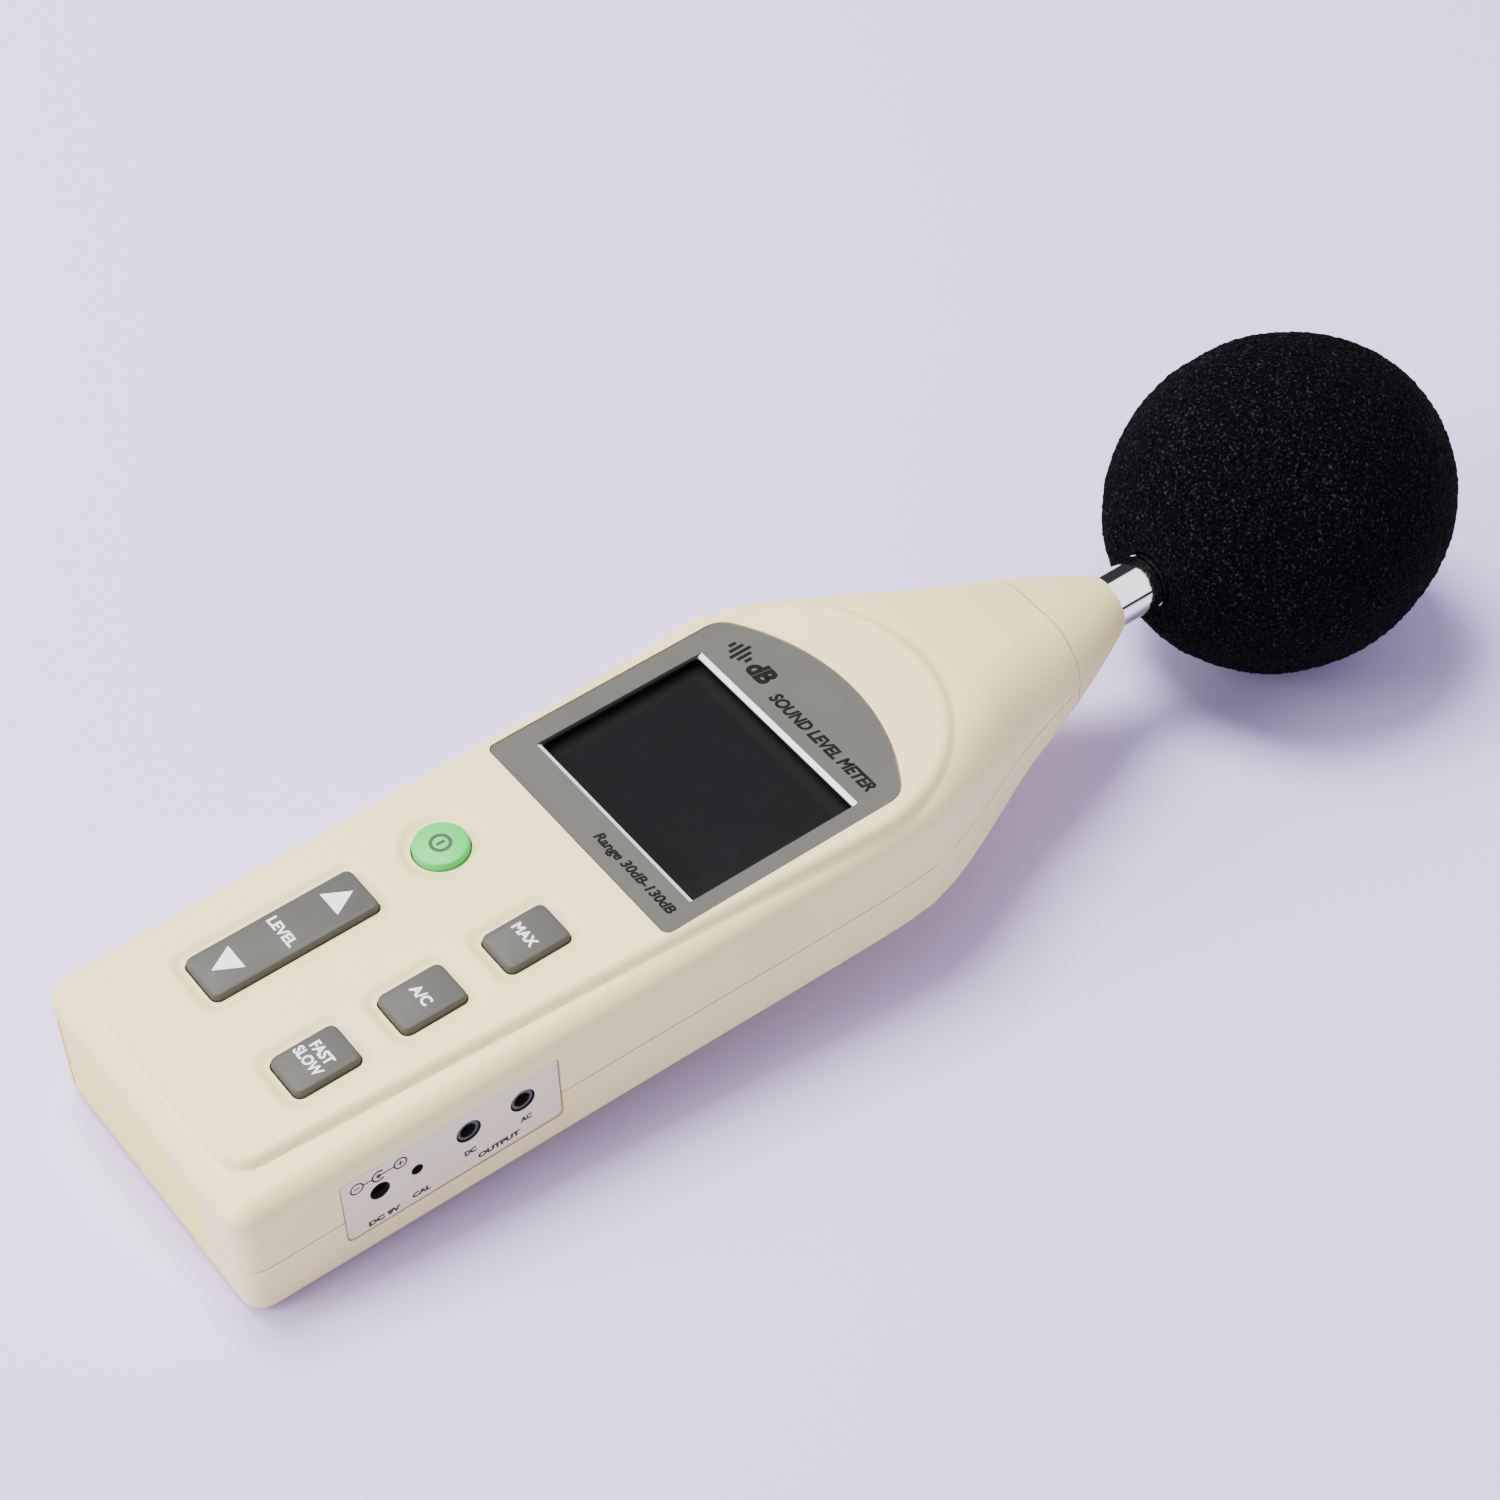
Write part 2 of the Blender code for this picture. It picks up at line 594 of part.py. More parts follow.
def make_display_stack(glass, clear, black, rubber):
    """Window lens, display module, its frame and the two contact strips."""
    def centred(name, size, low, high, material, radius=0.5):
        outline = rounded_rectangle((WINDOW_X, WINDOW_Y), size, radius, 2)
        return prism(name, outline, low, high, material)

    centred("window_lens", (55.0, 41.8), 30.4, 31.4, clear)
    centred("lcd_module", (54.8, 41.6), 27.0, 30.1, glass)
    frame = centred("lcd_frame", (59.0, 46.2), BOARD_Z[1] + GAP, 31.3, black, 1.5)
    cut(frame, centred("guide_frame_room", (55.8, 42.6), 20.0, 36.0, None))
    for name, shift in (("zebra_strip_upper", 17.9), ("zebra_strip_lower", -17.9)):
        y = WINDOW_Y + shift
        low = (WINDOW_X - 26.0, y - 1.2, BOARD_Z[1] + GAP)
        block(name, low, (WINDOW_X + 26.0, y + 1.2, 27.0 - GAP), rubber)


def make_board(green):
    outline = rounded_rectangle((0.0, sum(BOARD_Y) / 2), (2 * BOARD_HALF, BOARD_Y[1] - BOARD_Y[0]), 2.0, 2)
    board = prism("main_board", outline, *BOARD_Z, green)
    for i, (x, y) in enumerate(BOARD_SCREWS):
        cut(board, turned(f"guide_board_hole_{i}", ((15.0, 1.3), (30.0, 1.3)), "Z", (x, y, 0), segments=12))
    return board


def make_components(black, metal, blue):
    """Chips, crystal and capacitors on the underside of the main board."""
    top = BOARD_Z[0] - GAP
    chips = {
        "microcontroller": ((-7.0, 20.0), (14.0, 14.0, 1.6), black),
        "rms_converter": ((-14.0, 46.0), (10.4, 7.6, 2.4), black),
        "amplifier_chip": ((8.0, 50.0), (5.0, 6.0, 1.6), black),
        "crystal": ((12.0, 14.0), (11.0, 4.6, 3.4), metal),
    }
    for name, (place, size, material) in chips.items():
        prism(name, rounded_rectangle(place, size[:2], 0.4, 1), top - size[2], top, material)
    for name, x, y in (("capacitor_input", 24.0, 30.0), ("capacitor_supply", 24.0, -12.0)):
        turned(name, ((top - 7.0, 2.6), (top - 6.7, 3.1), (top, 3.1)), "Z", (x, y, 0), blue, segments=20)


def make_audio_jack(name, y, z, black):
    """Socket for a 3.5 mm plug, open towards +X."""
    body = block(name, (23.5, y - 3.2, z - 2.9), (SOCKET_FACE_X, y + 3.2, BOARD_Z[0] - GAP), black)
    fuse(body, turned(f"guide_{name}_nose", ((30.0, 2.45), (36.2, 2.45)), "X", (0, y, z), segments=24))
    cut(body, turned(f"guide_{name}_bore", ((25.5, 1.8), (40.0, 1.8)), "X", (0, y, z), segments=20))
    return body


def make_power_socket(black):
    """External supply socket with a centre pin, open towards +X."""
    y, z = POWER_IN
    corner = (SOCKET_FACE_X, y + 3.9, BOARD_Z[0] - GAP)
    body = block("dc_power_socket", (24.0, y - 3.9, z - 3.9), corner, black)
    cut(body, turned("guide_power_bore", ((26.0, 2.1), (40.0, 2.1)), "X", (0, y, z), segments=20))
    fuse(body, turned("guide_power_pin", ((25.0, 0.65), (33.5, 0.65)), "X", (0, y, z), segments=10))
    return body


def make_trimmer(blue, brass):
    """Calibration trimmer and the slotted rotor that a small screwdriver turns."""
    y, z = TRIMMER
    corner = (SOCKET_FACE_X - GAP, y + 2.4, BOARD_Z[0] - GAP)
    body = block("trimmer_body", (25.0, y - 2.4, z - 3.4), corner, blue)
    cut(body, turned("guide_trimmer_seat", ((32.6, 1.45), (40.0, 1.45)), "X", (0, y, z), segments=20))
    rotor = turned("trimmer_rotor", ((-0.9, 1.1), (0.9, 1.1)), "X", (0, 0, 0), brass, segments=20)
    rotor.location = Vector((33.9, y, z)) * MM
    cut(rotor, block("guide_rotor_slot", (34.2, y - 2.0, z - 0.25), (36.0, y + 2.0, z + 0.25)))


# ---------------------------------------------------------------- microphone

def make_microphone(chrome, black, green, foam, rubber):
    """Chrome tube, capsule, slotted grid, preamplifier board, seal and windscreen."""
    axis = (0, 0, MIC_Z)
    low, high = TUBE_Y
    tube = ((low, TUBE_BORE), (low, TUBE_RADIUS), (high - 0.3, TUBE_RADIUS), (high, TUBE_RADIUS - 0.3),
            (high, TUBE_BORE))
    turned("mic_tube", tube, "Y", axis, chrome, closed=True, segments=40)
    low, high = GRID_Y
    cup = ((low, TUBE_BORE + 0.2), (low, TUBE_RADIUS), (high - 0.8, TUBE_RADIUS),
           (high - 0.2, TUBE_RADIUS - 0.3), (high, TUBE_RADIUS - 0.9), (high, 0.8), (high - 1.0, 0.8),
           (high - 1.0, TUBE_BORE + 0.2))
    grid = turned("mic_grid", cup, "Y", axis, chrome, closed=True, segments=40)
    for i in range(6):
        turn = math.radians(60 * i + 13)
        centre = (3.5 * math.sin(turn), 3.5 * math.cos(turn) + MIC_Z)
        outline = arc(centre, 1.0, 0, 330, 11)
        rings = [[(x, y, z) for x, z in outline] for y in (high - 2.0, high + 1.0)]
        cut(grid, loft(f"guide_grid_{i}", rings))
    turned("mic_capsule", ((154.6, 5.3), (161.0, 5.3), (161.6, 4.7)), "Y", axis, black)
    block("preamp_board", (-4.6, 114.0, MIC_Z - 0.8), (4.6, 149.0, MIC_Z + 0.8), green)
    seal = TUBE_RADIUS + GAP
    profile = ((118.0, seal), (118.0, 7.5), (121.5, 7.5), (121.5, seal))
    turned("mic_seal", profile, "Y", axis, rubber, closed=True)
    route = ((0, 113.7, 12.06), (0, 106.0, 12.3), (0, 93.0, 16.5), (0, 78.0, 21.8), (0, 66.3, 22.8))
    wire("mic_cable", route, 1.2, black)
    make_windscreen(foam)


def make_windscreen(foam):
    """Foam ball pushed over the microphone, with a blind bore and a flattened mouth."""
    mouth = BALL_Y - BALL_HALF_LENGTH * math.cos(math.radians(20))
    profile = [(BALL_BORE_END_Y, 0.01), (BALL_BORE_END_Y, BALL_BORE), (mouth, BALL_BORE)]
    for angle in np.linspace(160, 3, 15):
        turn = math.radians(angle)
        profile.append((BALL_Y + BALL_HALF_LENGTH * math.cos(turn), BALL_RADIUS * math.sin(turn)))
    profile.append((BALL_Y + BALL_HALF_LENGTH, 0.01))
    ball = turned("windscreen", profile, "Y", (0, 0, MIC_Z), foam, segments=32)
    return ball


# ---------------------------------------------------------------- battery and fasteners

def make_battery(case, rubber, red, black, foam):
    """Nine-volt battery with its snap connector, two leads and a foam pad."""
    half, (low_y, low_z) = BATTERY_SIZE[0] / 2, BATTERY_LOW
    high_y, high_z = low_y + BATTERY_SIZE[1], low_z + BATTERY_SIZE[2]
    centre = (0.0, (low_z + high_z) / 2)
    outline = [(z, x) for x, z in reversed(rounded_rectangle(centre, (2 * half, BATTERY_SIZE[2]), 2.0))]
    battery = prism("battery", outline, low_y, high_y, case, axis="Y")
    snap_low = high_y + GAP
    snap = block("battery_snap", (-half + 0.5, snap_low, low_z + 2.0),
                 (half - 0.5, snap_low + 4.6, high_z - 2.0), rubber)
    for side, radius in ((-1, 2.9), (1, 3.9)):
        place = (side * TERMINAL_X, 0, centre[1])
        outline = ((high_y - 1.0, radius), (high_y + 2.4, radius))
        fuse(battery, turned(f"guide_terminal_{side}", outline, "Y", place, segments=20))
        hole = radius + 0.5
        outline = ((high_y - 1.0, hole), (high_y + 2.9, hole))
        cut(snap, turned(f"guide_snap_{side}", outline, "Y", place, segments=20))
    start = snap_low + 4.6 + GAP
    for name, side, material in (("battery_lead_positive", -1, red), ("battery_lead_negative", 1, black)):
        x = side * TERMINAL_X
        route = ((x, start, 15.3), (x, start + 2.2, 15.5), (x, start + 5.0, 17.4), (x, start + 6.4, 19.4),
                 (x, start + 6.6, BOARD_Z[0] - GAP))
        wire(name, route, 0.7, material)
    block("battery_pad", (-11.0, -90.0, high_z + GAP), (11.0, -58.0, BOARD_Z[0] - GAP), foam)


def make_screws(steel, brass):
    """Case screws in their counterbores, board screws and the tripod bush."""
    def screw(name, places, head_low, head_high, head_radius, tip, shank):
        for i, (x, y) in enumerate(places):
            profile = ((head_low, head_radius - 0.4), (head_low + 0.3, head_radius),
                       (head_high, head_radius), (head_high, shank), (tip - 0.8, shank), (tip, shank * 0.4))
            fastener = turned(f"{name}_{i + 1}", profile, "Z", (x, y, 0), steel, segments=16)
            for part, (dx, dy) in (("a", (1.5, 0.35)), ("b", (0.35, 1.5))):
                low = (x - dx, y - dy, head_low - 1.0)
                cut(fastener, block(f"guide_{name}_{i}{part}", low, (x + dx, y + dy, head_low + 0.9)))

    screw("case_screw", CASE_SCREWS, 5.6, 7.7, 2.8, 22.0, 1.3)
    screw("board_screw", BOARD_SCREWS, 20.0, BOARD_Z[0] - GAP, 2.2, 29.0, 0.9)
    bush = ((0.0, 3.0), (0.0, 5.0), (8.8, 5.0), (8.8, 3.0))
    turned("tripod_bush", bush, "Z", (0, TRIPOD_Y, 0), brass, closed=True, segments=24)


def build():
    """Model every piece."""
    cream = make_material("cream_plastic", (0.78, 0.71, 0.58), 0.42)
    yellow = make_material("end_plastic", (0.74, 0.69, 0.49), 0.45)
    side_grey = make_material("side_panel_plastic", (0.62, 0.57, 0.52), 0.45)
    panel_grey = make_material("panel_plastic", (0.24, 0.235, 0.22), 0.4)
    key_grey = make_material("key_plastic", (0.25, 0.25, 0.25), 0.5)
    green = make_material("power_key_plastic", (0.27, 0.65, 0.38), 0.4)
    lcd = make_material("lcd_glass", (0.02, 0.022, 0.02), 0.1)
    clear = make_material("clear_lens", (0.9, 0.9, 0.9), 0.05, transmission=1.0)
    black = make_material("black_plastic", (0.02, 0.02, 0.02), 0.5)
    rubber = make_material("black_rubber", (0.03, 0.03, 0.03), 0.8)
    board = make_material("circuit_board", (0.03, 0.16, 0.07), 0.4)
    metal = make_material("bright_metal", (0.7, 0.7, 0.7), 0.25, 1.0)
    chrome = make_material("chrome_metal", (0.85, 0.85, 0.87), 0.08, 1.0)
    brass = make_material("brass_metal", (0.75, 0.57, 0.25), 0.3, 1.0)
    blue = make_material("blue_plastic", (0.05, 0.12, 0.35), 0.4)
    red = make_material("red_sleeve", (0.55, 0.03, 0.02), 0.5)
    foam = make_material("black_foam", (0.012, 0.012, 0.013), 0.95)
    case = make_material("battery_case", (0.12, 0.12, 0.13), 0.35)

    make_front_shell(cream)
    make_rear_shell(cream)
    make_nose_cap(cream)
    make_battery_cover(cream)
    make_panel(panel_grey)
    make_jack_plate(side_grey)
    block("end_plate", (END_PLATE_X[0], END_Y + 0.1, END_PLATE_Z[0]),
          (END_PLATE_X[1], END_Y + 1.1, END_PLATE_Z[1]), yellow)

    make_key("power_key", green)
    for name in ("max_key", "weighting_key", "response_key"):
        make_key(name, key_grey)
    make_rocker(key_grey)
    for name in ("power", "max", "weighting", "response"):
        place = key_centre(f"{name}_key")
        make_switch(f"switch_{name}", place.x, place.y, black)
    make_switch("switch_level_up", -KEY_COLUMN_X, ROCKER_Y + ROCKER_SWITCH_REACH, black)
    make_switch("switch_level_down", -KEY_COLUMN_X, ROCKER_Y - ROCKER_SWITCH_REACH, black)

    make_display_stack(lcd, clear, black, rubber)
    make_board(board)
    make_components(black, metal, blue)
    make_audio_jack("dc_output_jack", *DC_OUT, black)
    make_audio_jack("ac_output_jack", *AC_OUT, black)
    make_power_socket(black)
    make_trimmer(blue, brass)
    make_microphone(chrome, black, board, foam, rubber)
    make_battery(case, rubber, red, black, foam)
    make_screws(metal, brass)


for old in list(bpy.data.objects):
    bpy.data.objects.remove(old)
build()
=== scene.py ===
"""Sound level meter: finished looks, floor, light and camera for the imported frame."""
import json
import math

import bmesh
import bpy
import numpy as np
from mathutils import Matrix, Vector, noise
from mathutils.bvhtree import BVHTree


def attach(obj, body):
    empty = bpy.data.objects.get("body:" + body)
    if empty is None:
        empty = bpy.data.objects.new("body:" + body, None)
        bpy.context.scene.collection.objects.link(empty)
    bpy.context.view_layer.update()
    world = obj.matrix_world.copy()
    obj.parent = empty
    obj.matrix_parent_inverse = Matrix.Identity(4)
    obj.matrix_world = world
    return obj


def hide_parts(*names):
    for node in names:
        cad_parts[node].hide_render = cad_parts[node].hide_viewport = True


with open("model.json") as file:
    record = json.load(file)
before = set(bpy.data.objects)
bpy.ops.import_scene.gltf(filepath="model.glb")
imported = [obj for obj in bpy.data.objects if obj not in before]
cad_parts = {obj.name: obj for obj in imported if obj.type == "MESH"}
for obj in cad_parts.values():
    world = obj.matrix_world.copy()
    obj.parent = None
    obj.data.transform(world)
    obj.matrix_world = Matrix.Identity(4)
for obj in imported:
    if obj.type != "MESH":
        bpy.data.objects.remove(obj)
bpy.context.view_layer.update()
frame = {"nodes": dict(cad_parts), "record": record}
NODES = frame["nodes"]
MM = 0.001
FACE_Z = 34.3               # height of the raised face, in mm like every measure below
WINDOW = (0.7, 27.2)        # middle of the display window
SMOOTH_ANGLE = 32.0         # edges that turn more than this, in degrees, stay sharp
NOISE_SPREAD = (0.3, 0.7)   # where nearly all values of a noise texture lie
# Holes in the side plate: y, z and radius.
SOCKET_HOLES = ((-74.2, 17.2, 2.2), (-65.8, 16.8, 1.3), (-53.8, 18.9, 2.8), (-41.3, 18.4, 2.8))


# ---------------------------------------------------------------- materials

class Shader:
    """A Principled material whose colour, roughness and relief come from nodes."""

    def __init__(self, name, colour, roughness, metallic=0.0, **sockets):
        self.material = bpy.data.materials.new(name)
        self.material.use_nodes = True
        self.nodes = self.material.node_tree.nodes
        self.links = self.material.node_tree.links
        self.bsdf = self.nodes["Principled BSDF"]
        self.colour = colour
        self.set("Base Color", (*colour, 1.0))
        self.set("Roughness", roughness)
        self.set("Metallic", metallic)
        for socket, value in sockets.items():
            self.set(socket.replace("_", " "), value)
        self.coords = self.nodes.new("ShaderNodeTexCoord").outputs["Object"]
        self.height = None

    def set(self, socket, value):
        self.bsdf.inputs[socket].default_value = value

    def node(self, kind, inputs=None, **settings):
        made = self.nodes.new(kind)
        for key, value in settings.items():
            setattr(made, key, value)
        for key, value in (inputs or {}).items():
            if isinstance(value, bpy.types.NodeSocket):
                self.links.new(value, made.inputs[key])
            else:
                made.inputs[key].default_value = value
        return made

    def noise(self, scale, detail=2.0, roughness=0.5):
        made = self.node("ShaderNodeTexNoise", {"Vector": self.coords, "Scale": scale, "Detail": detail,
                                                "Roughness": roughness})
        return made.outputs["Fac"]

    def cells(self, scale, feature="F1"):
        made = self.node("ShaderNodeTexVoronoi", {"Vector": self.coords, "Scale": scale}, feature=feature)
        return made.outputs["Distance"]

    def span(self, value, low, high, to_low, to_high):
        made = self.node("ShaderNodeMapRange", {"Value": value, "From Min": low, "From Max": high,
                                                "To Min": to_low, "To Max": to_high})
        return made.outputs["Result"]

    def math(self, operation, first, second=0.0):
        return self.node("ShaderNodeMath", {0: first, 1: second}, operation=operation).outputs[0]

    def mix(self, factor, first, second):
        made = self.node("ShaderNodeMix", data_type="RGBA")
        for socket, value in zip((made.inputs[0], made.inputs[6], made.inputs[7]), (factor, first, second)):
            if isinstance(value, bpy.types.NodeSocket):
                self.links.new(value, socket)
            else:
                socket.default_value = value if socket is made.inputs[0] else (*value, 1.0)
        return made.outputs[2]

    def paint(self, colour):
        self.links.new(colour, self.bsdf.inputs["Base Color"])

    def gloss(self, scale, low, high, detail=2.0):
        """Roughness that goes between two values from place to place."""
        value = self.span(self.noise(scale, detail), *NOISE_SPREAD, low, high)
        self.links.new(value, self.bsdf.inputs["Roughness"])

    def relief(self, height, distance, strength=1.0):
        inputs = {"Height": height, "Distance": distance, "Strength": strength}
        if self.height is not None:
            inputs["Normal"] = self.height
        self.height = self.node("ShaderNodeBump", inputs).outputs["Normal"]
        self.links.new(self.height, self.bsdf.inputs["Normal"])

    def shades(self, scale, amount, detail=3.0):
        """The colour, a little lighter and darker from place to place."""
        low = tuple(c * (1 - amount) for c in self.colour)
        high = tuple(min(1.0, c * (1 + amount)) for c in self.colour)
        return self.mix(self.span(self.noise(scale, detail), *NOISE_SPREAD, 0.0, 1.0), low, high)


def moulded(s, tone, roughness, grain=1900.0, depth=0.018):
    """Finish of moulded plastic: that tone, slightly uneven gloss and fine grain."""
    s.paint(tone)
    s.gloss(90.0, roughness - 0.05, roughness + 0.05)
    s.relief(s.noise(grain, 3.0, 0.6), depth * MM)
    return s.material


def plastic(name, colour, roughness, grain=1900.0, depth=0.018, **sockets):
    """Moulded plastic or printed ink, with faint changes of tone."""
    s = Shader(name, colour, roughness, **sockets)
    return moulded(s, s.shades(28.0, 0.025), roughness, grain, depth)


def metal(name, colour, roughness):
    """Plated or polished metal with faint polishing marks."""
    s = Shader(name, colour, roughness, 1.0)
    s.paint(s.shades(60.0, 0.03))
    s.gloss(220.0, roughness * 0.8, roughness * 1.25, 4.0)
    s.relief(s.noise(700.0, 4.0), 0.002 * MM)
    return s.material


def rubber(name, colour):
    s = Shader(name, colour, 0.75)
    s.paint(s.shades(400.0, 0.2))
    s.relief(s.noise(2600.0, 4.0, 0.7), 0.03 * MM)
    return s.material


def foam(name):
    """Open-cell foam: painted shade in the pores, between a net of struts with painted highlights where they
    catch a little light.
    """
    s = Shader(name, (0.012, 0.012, 0.013), 0.95, Specular_IOR_Level=0.03)
    pores = s.cells(1150.0)
    lit_struts = s.span(pores, 0.25, 0.62, 0.0, 1.0)
    glint_specks = s.span(s.noise(1500.0, 2.0, 0.6), 0.56, 0.72, 0.0, 1.0)
    # Painted shade: the pores are darker than the struts. Painted highlights: the lighter specks on the
    # struts.
    tone = s.mix(lit_struts, (0.0004, 0.0004, 0.0008), (0.0015, 0.0015, 0.0026))
    s.paint(s.mix(s.math("MULTIPLY", glint_specks, lit_struts), tone, (0.030, 0.030, 0.034)))
    s.relief(pores, 0.55 * MM, 0.9)
    s.relief(s.noise(2600.0, 4.0, 0.7), 0.18 * MM, 0.8)
    return s.material


def display(name):
    """Liquid-crystal glass: near black, with an olive margin round the active area."""
    half_active = (23.2, 16.7)
    fade = 1.0
    s = Shader(name, (0.010, 0.011, 0.012), 0.5, Specular_IOR_Level=0.1)
    place = s.node("ShaderNodeSeparateXYZ", {"Vector": s.coords})
    margins = []
    for axis, middle, half in zip("XY", WINDOW, half_active):
        away = s.math("ABSOLUTE", s.math("SUBTRACT", place.outputs[axis], middle * MM))
        margins.append(s.span(away, half * MM, (half + fade) * MM, 0.0, 1.0))
    margin = s.math("MAXIMUM", *margins)
    s.paint(s.mix(margin, s.shades(120.0, 0.15), (0.026, 0.027, 0.018)))
    s.gloss(500.0, 0.45, 0.55)
    return s.material


def clear(name):
    """Tinted acrylic window, seen through."""
    s = Shader(name, (0.012, 0.012, 0.014), 0.05, Alpha=0.4, IOR=1.49)
    s.gloss(150.0, 0.04, 0.07)
    return s.material


def board(name):
    """Green solder mask with faint tracks."""
    s = Shader(name, (0.03, 0.16, 0.07), 0.35)
    tracks = s.span(s.cells(260.0, "DISTANCE_TO_EDGE"), 0.02, 0.06, 1.0, 0.0)
    s.paint(s.mix(tracks, s.shades(90.0, 0.1), (0.06, 0.26, 0.11)))
    s.relief(tracks, 0.03 * MM)
    return s.material


def socket_plate(name):
    """Moulded plate with the walls inside its four holes painted near black: painted shade in the holes."""
    roughness = 0.6
    shade_reach = 0.04
    s = Shader(name, (0.74, 0.645, 0.48), roughness)
    flatten = {0: s.coords, 1: (0.0, 1.0, 1.0)}
    side_on = s.node("ShaderNodeVectorMath", flatten, operation="MULTIPLY").outputs[0]
    # Painted shade: each hole's wall, and a thin rim round it, is painted near black.
    walls = 0.0
    for y, z, radius in SOCKET_HOLES:
        centre = {0: side_on, 1: (0.0, y * MM, z * MM)}
        away = s.node("ShaderNodeVectorMath", centre, operation="DISTANCE").outputs["Value"]
        walls = s.math("MAXIMUM", walls, s.math("LESS_THAN", away, (radius + shade_reach) * MM))
    return moulded(s, s.mix(walls, s.shades(28.0, 0.025), (0.012, 0.012, 0.012)), roughness)


LOOKS = {
    "cream_plastic": plastic("cream_casing", (0.885, 0.73, 0.36), 0.46),
    "end_plastic": plastic("end_plate_plastic", (0.90, 0.77, 0.22), 0.5),
    "side_panel_plastic": socket_plate("jack_plate_plastic"),
    "panel_plastic": plastic("panel_grey", (0.064, 0.062, 0.053), 0.62, grain=2600.0, depth=0.008,
                             Specular_IOR_Level=0.4),
    "key_plastic": plastic("key_grey", (0.057, 0.057, 0.050), 0.62, grain=2400.0, depth=0.01,
                           Specular_IOR_Level=0.4),
    "power_key_plastic": plastic("key_green", (0.022, 0.58, 0.085), 0.5, grain=2400.0, depth=0.008),
    "lcd_glass": display("display_glass"),
    "clear_lens": clear("window_acrylic"),
    "black_plastic": plastic("black_moulding", (0.018, 0.018, 0.018), 0.45),
    "black_rubber": rubber("rubber_black", (0.02, 0.02, 0.02)),
    "circuit_board": board("solder_mask"),
    "bright_metal": metal("plated_steel", (0.66, 0.66, 0.67), 0.28),
    "chrome_metal": metal("chrome", (0.86, 0.86, 0.89), 0.07),
    "brass_metal": metal("brass", (0.72, 0.53, 0.23), 0.3),
    "blue_plastic": plastic("blue_moulding", (0.04, 0.11, 0.36), 0.4),
    "red_sleeve": plastic("red_wire_sleeve", (0.5, 0.03, 0.02), 0.4),
    "black_foam": foam("open_cell_foam"),
    "battery_case": metal("battery_jacket", (0.1, 0.1, 0.11), 0.4),
}
WHITE_INK = plastic("white_ink", (0.85, 0.85, 0.85), 0.55, depth=0.004)
BLACK_INK = plastic("black_ink", (0.004, 0.004, 0.004), 0.8, depth=0.004, Specular_IOR_Level=0.15)
GREY_INK = plastic("side_label_ink", (0.035, 0.033, 0.033), 0.7, depth=0.004, Specular_IOR_Level=0.2)
GREEN_INK = plastic("dark_green_ink", (0.004, 0.045, 0.015), 0.5, depth=0.004)
# The brass of the trimmer's rotor, deep in its hole, is painted near black: painted shade of the hole.
ROTOR_SHADE = metal("rotor_shade_brass", (0.03, 0.024, 0.014), 0.55)

SLOT_OF = {entry["node"]: entry["material_slot"] for entry in frame["record"]["subparts"]}


def smoothing_group(name, angle):
    """Merges a node's split corners and shades it smooth, apart from edges sharper than angle."""
    group = bpy.data.node_groups.new(name, "GeometryNodeTree")
    for way in ("INPUT", "OUTPUT"):
        group.interface.new_socket("Geometry", in_out=way, socket_type="NodeSocketGeometry")
    nodes, links = group.nodes, group.links
    start = nodes.new("NodeGroupInput")
    end = nodes.new("NodeGroupOutput")
    plain = nodes.new("GeometryNodeRemoveAttribute")
    plain.inputs["Name"].default_value = "custom_normal"
    merge = nodes.new("GeometryNodeMergeByDistance")
    merge.inputs["Distance"].default_value = 0.001 * MM
    faces = nodes.new("GeometryNodeSetShadeSmooth")
    faces.domain = "FACE"
    edges = nodes.new("GeometryNodeSetShadeSmooth")
    edges.domain = "EDGE"
    turn = nodes.new("GeometryNodeInputMeshEdgeAngle")
    low = nodes.new("FunctionNodeCompare")
    low.operation = "LESS_THAN"
    low.inputs[1].default_value = math.radians(angle)
    links.new(turn.outputs["Unsigned Angle"], low.inputs[0])
    links.new(low.outputs[0], edges.inputs["Shade Smooth"])
    chain = (start, plain, merge, faces, edges, end)
    for first, second in zip(chain, chain[1:]):
        links.new(first.outputs[0], second.inputs[0])
    return group


SMOOTHING = smoothing_group("smooth_by_angle", SMOOTH_ANGLE)
# Widths of the rounding on the edges of CAD nodes.
SOFT_EDGES = {"power_key": 0.35, "max_key": 0.35, "weighting_key": 0.35, "response_key": 0.35,
              "level_rocker": 0.35, "jack_plate": 0.12, "end_plate": 0.12, "battery_cover": 0.3}

for name, node in NODES.items():
    node.data.materials.clear()
    node.data.materials.append(ROTOR_SHADE if name == "trimmer_rotor" else LOOKS[SLOT_OF[name]])
    node.modifiers.new("smooth", "NODES").node_group = SMOOTHING
    if name in SOFT_EDGES:
        bevel = node.modifiers.new("soft_edges", "BEVEL")
        bevel.width = SOFT_EDGES[name] * MM
        bevel.segments = 3
        bevel.limit_method = "ANGLE"
        bevel.angle_limit = math.radians(SMOOTH_ANGLE)
        bevel.harden_normals = True


# ---------------------------------------------------------------- printing

def piece(name, mesh, material, body):
    """A visible object that rides on a body."""
    made = bpy.data.objects.new(name, mesh)
    bpy.context.scene.collection.objects.link(made)
    mesh.materials.clear()
    mesh.materials.append(material)
    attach(made, body)
    return made


def surface(name):
    """The surface of a CAD node, for laying printing on."""
    mesh = NODES[name].data
    points = [v.co.copy() for v in mesh.vertices]
    return BVHTree.FromPolygons(points, [tuple(p.vertices) for p in mesh.polygons])


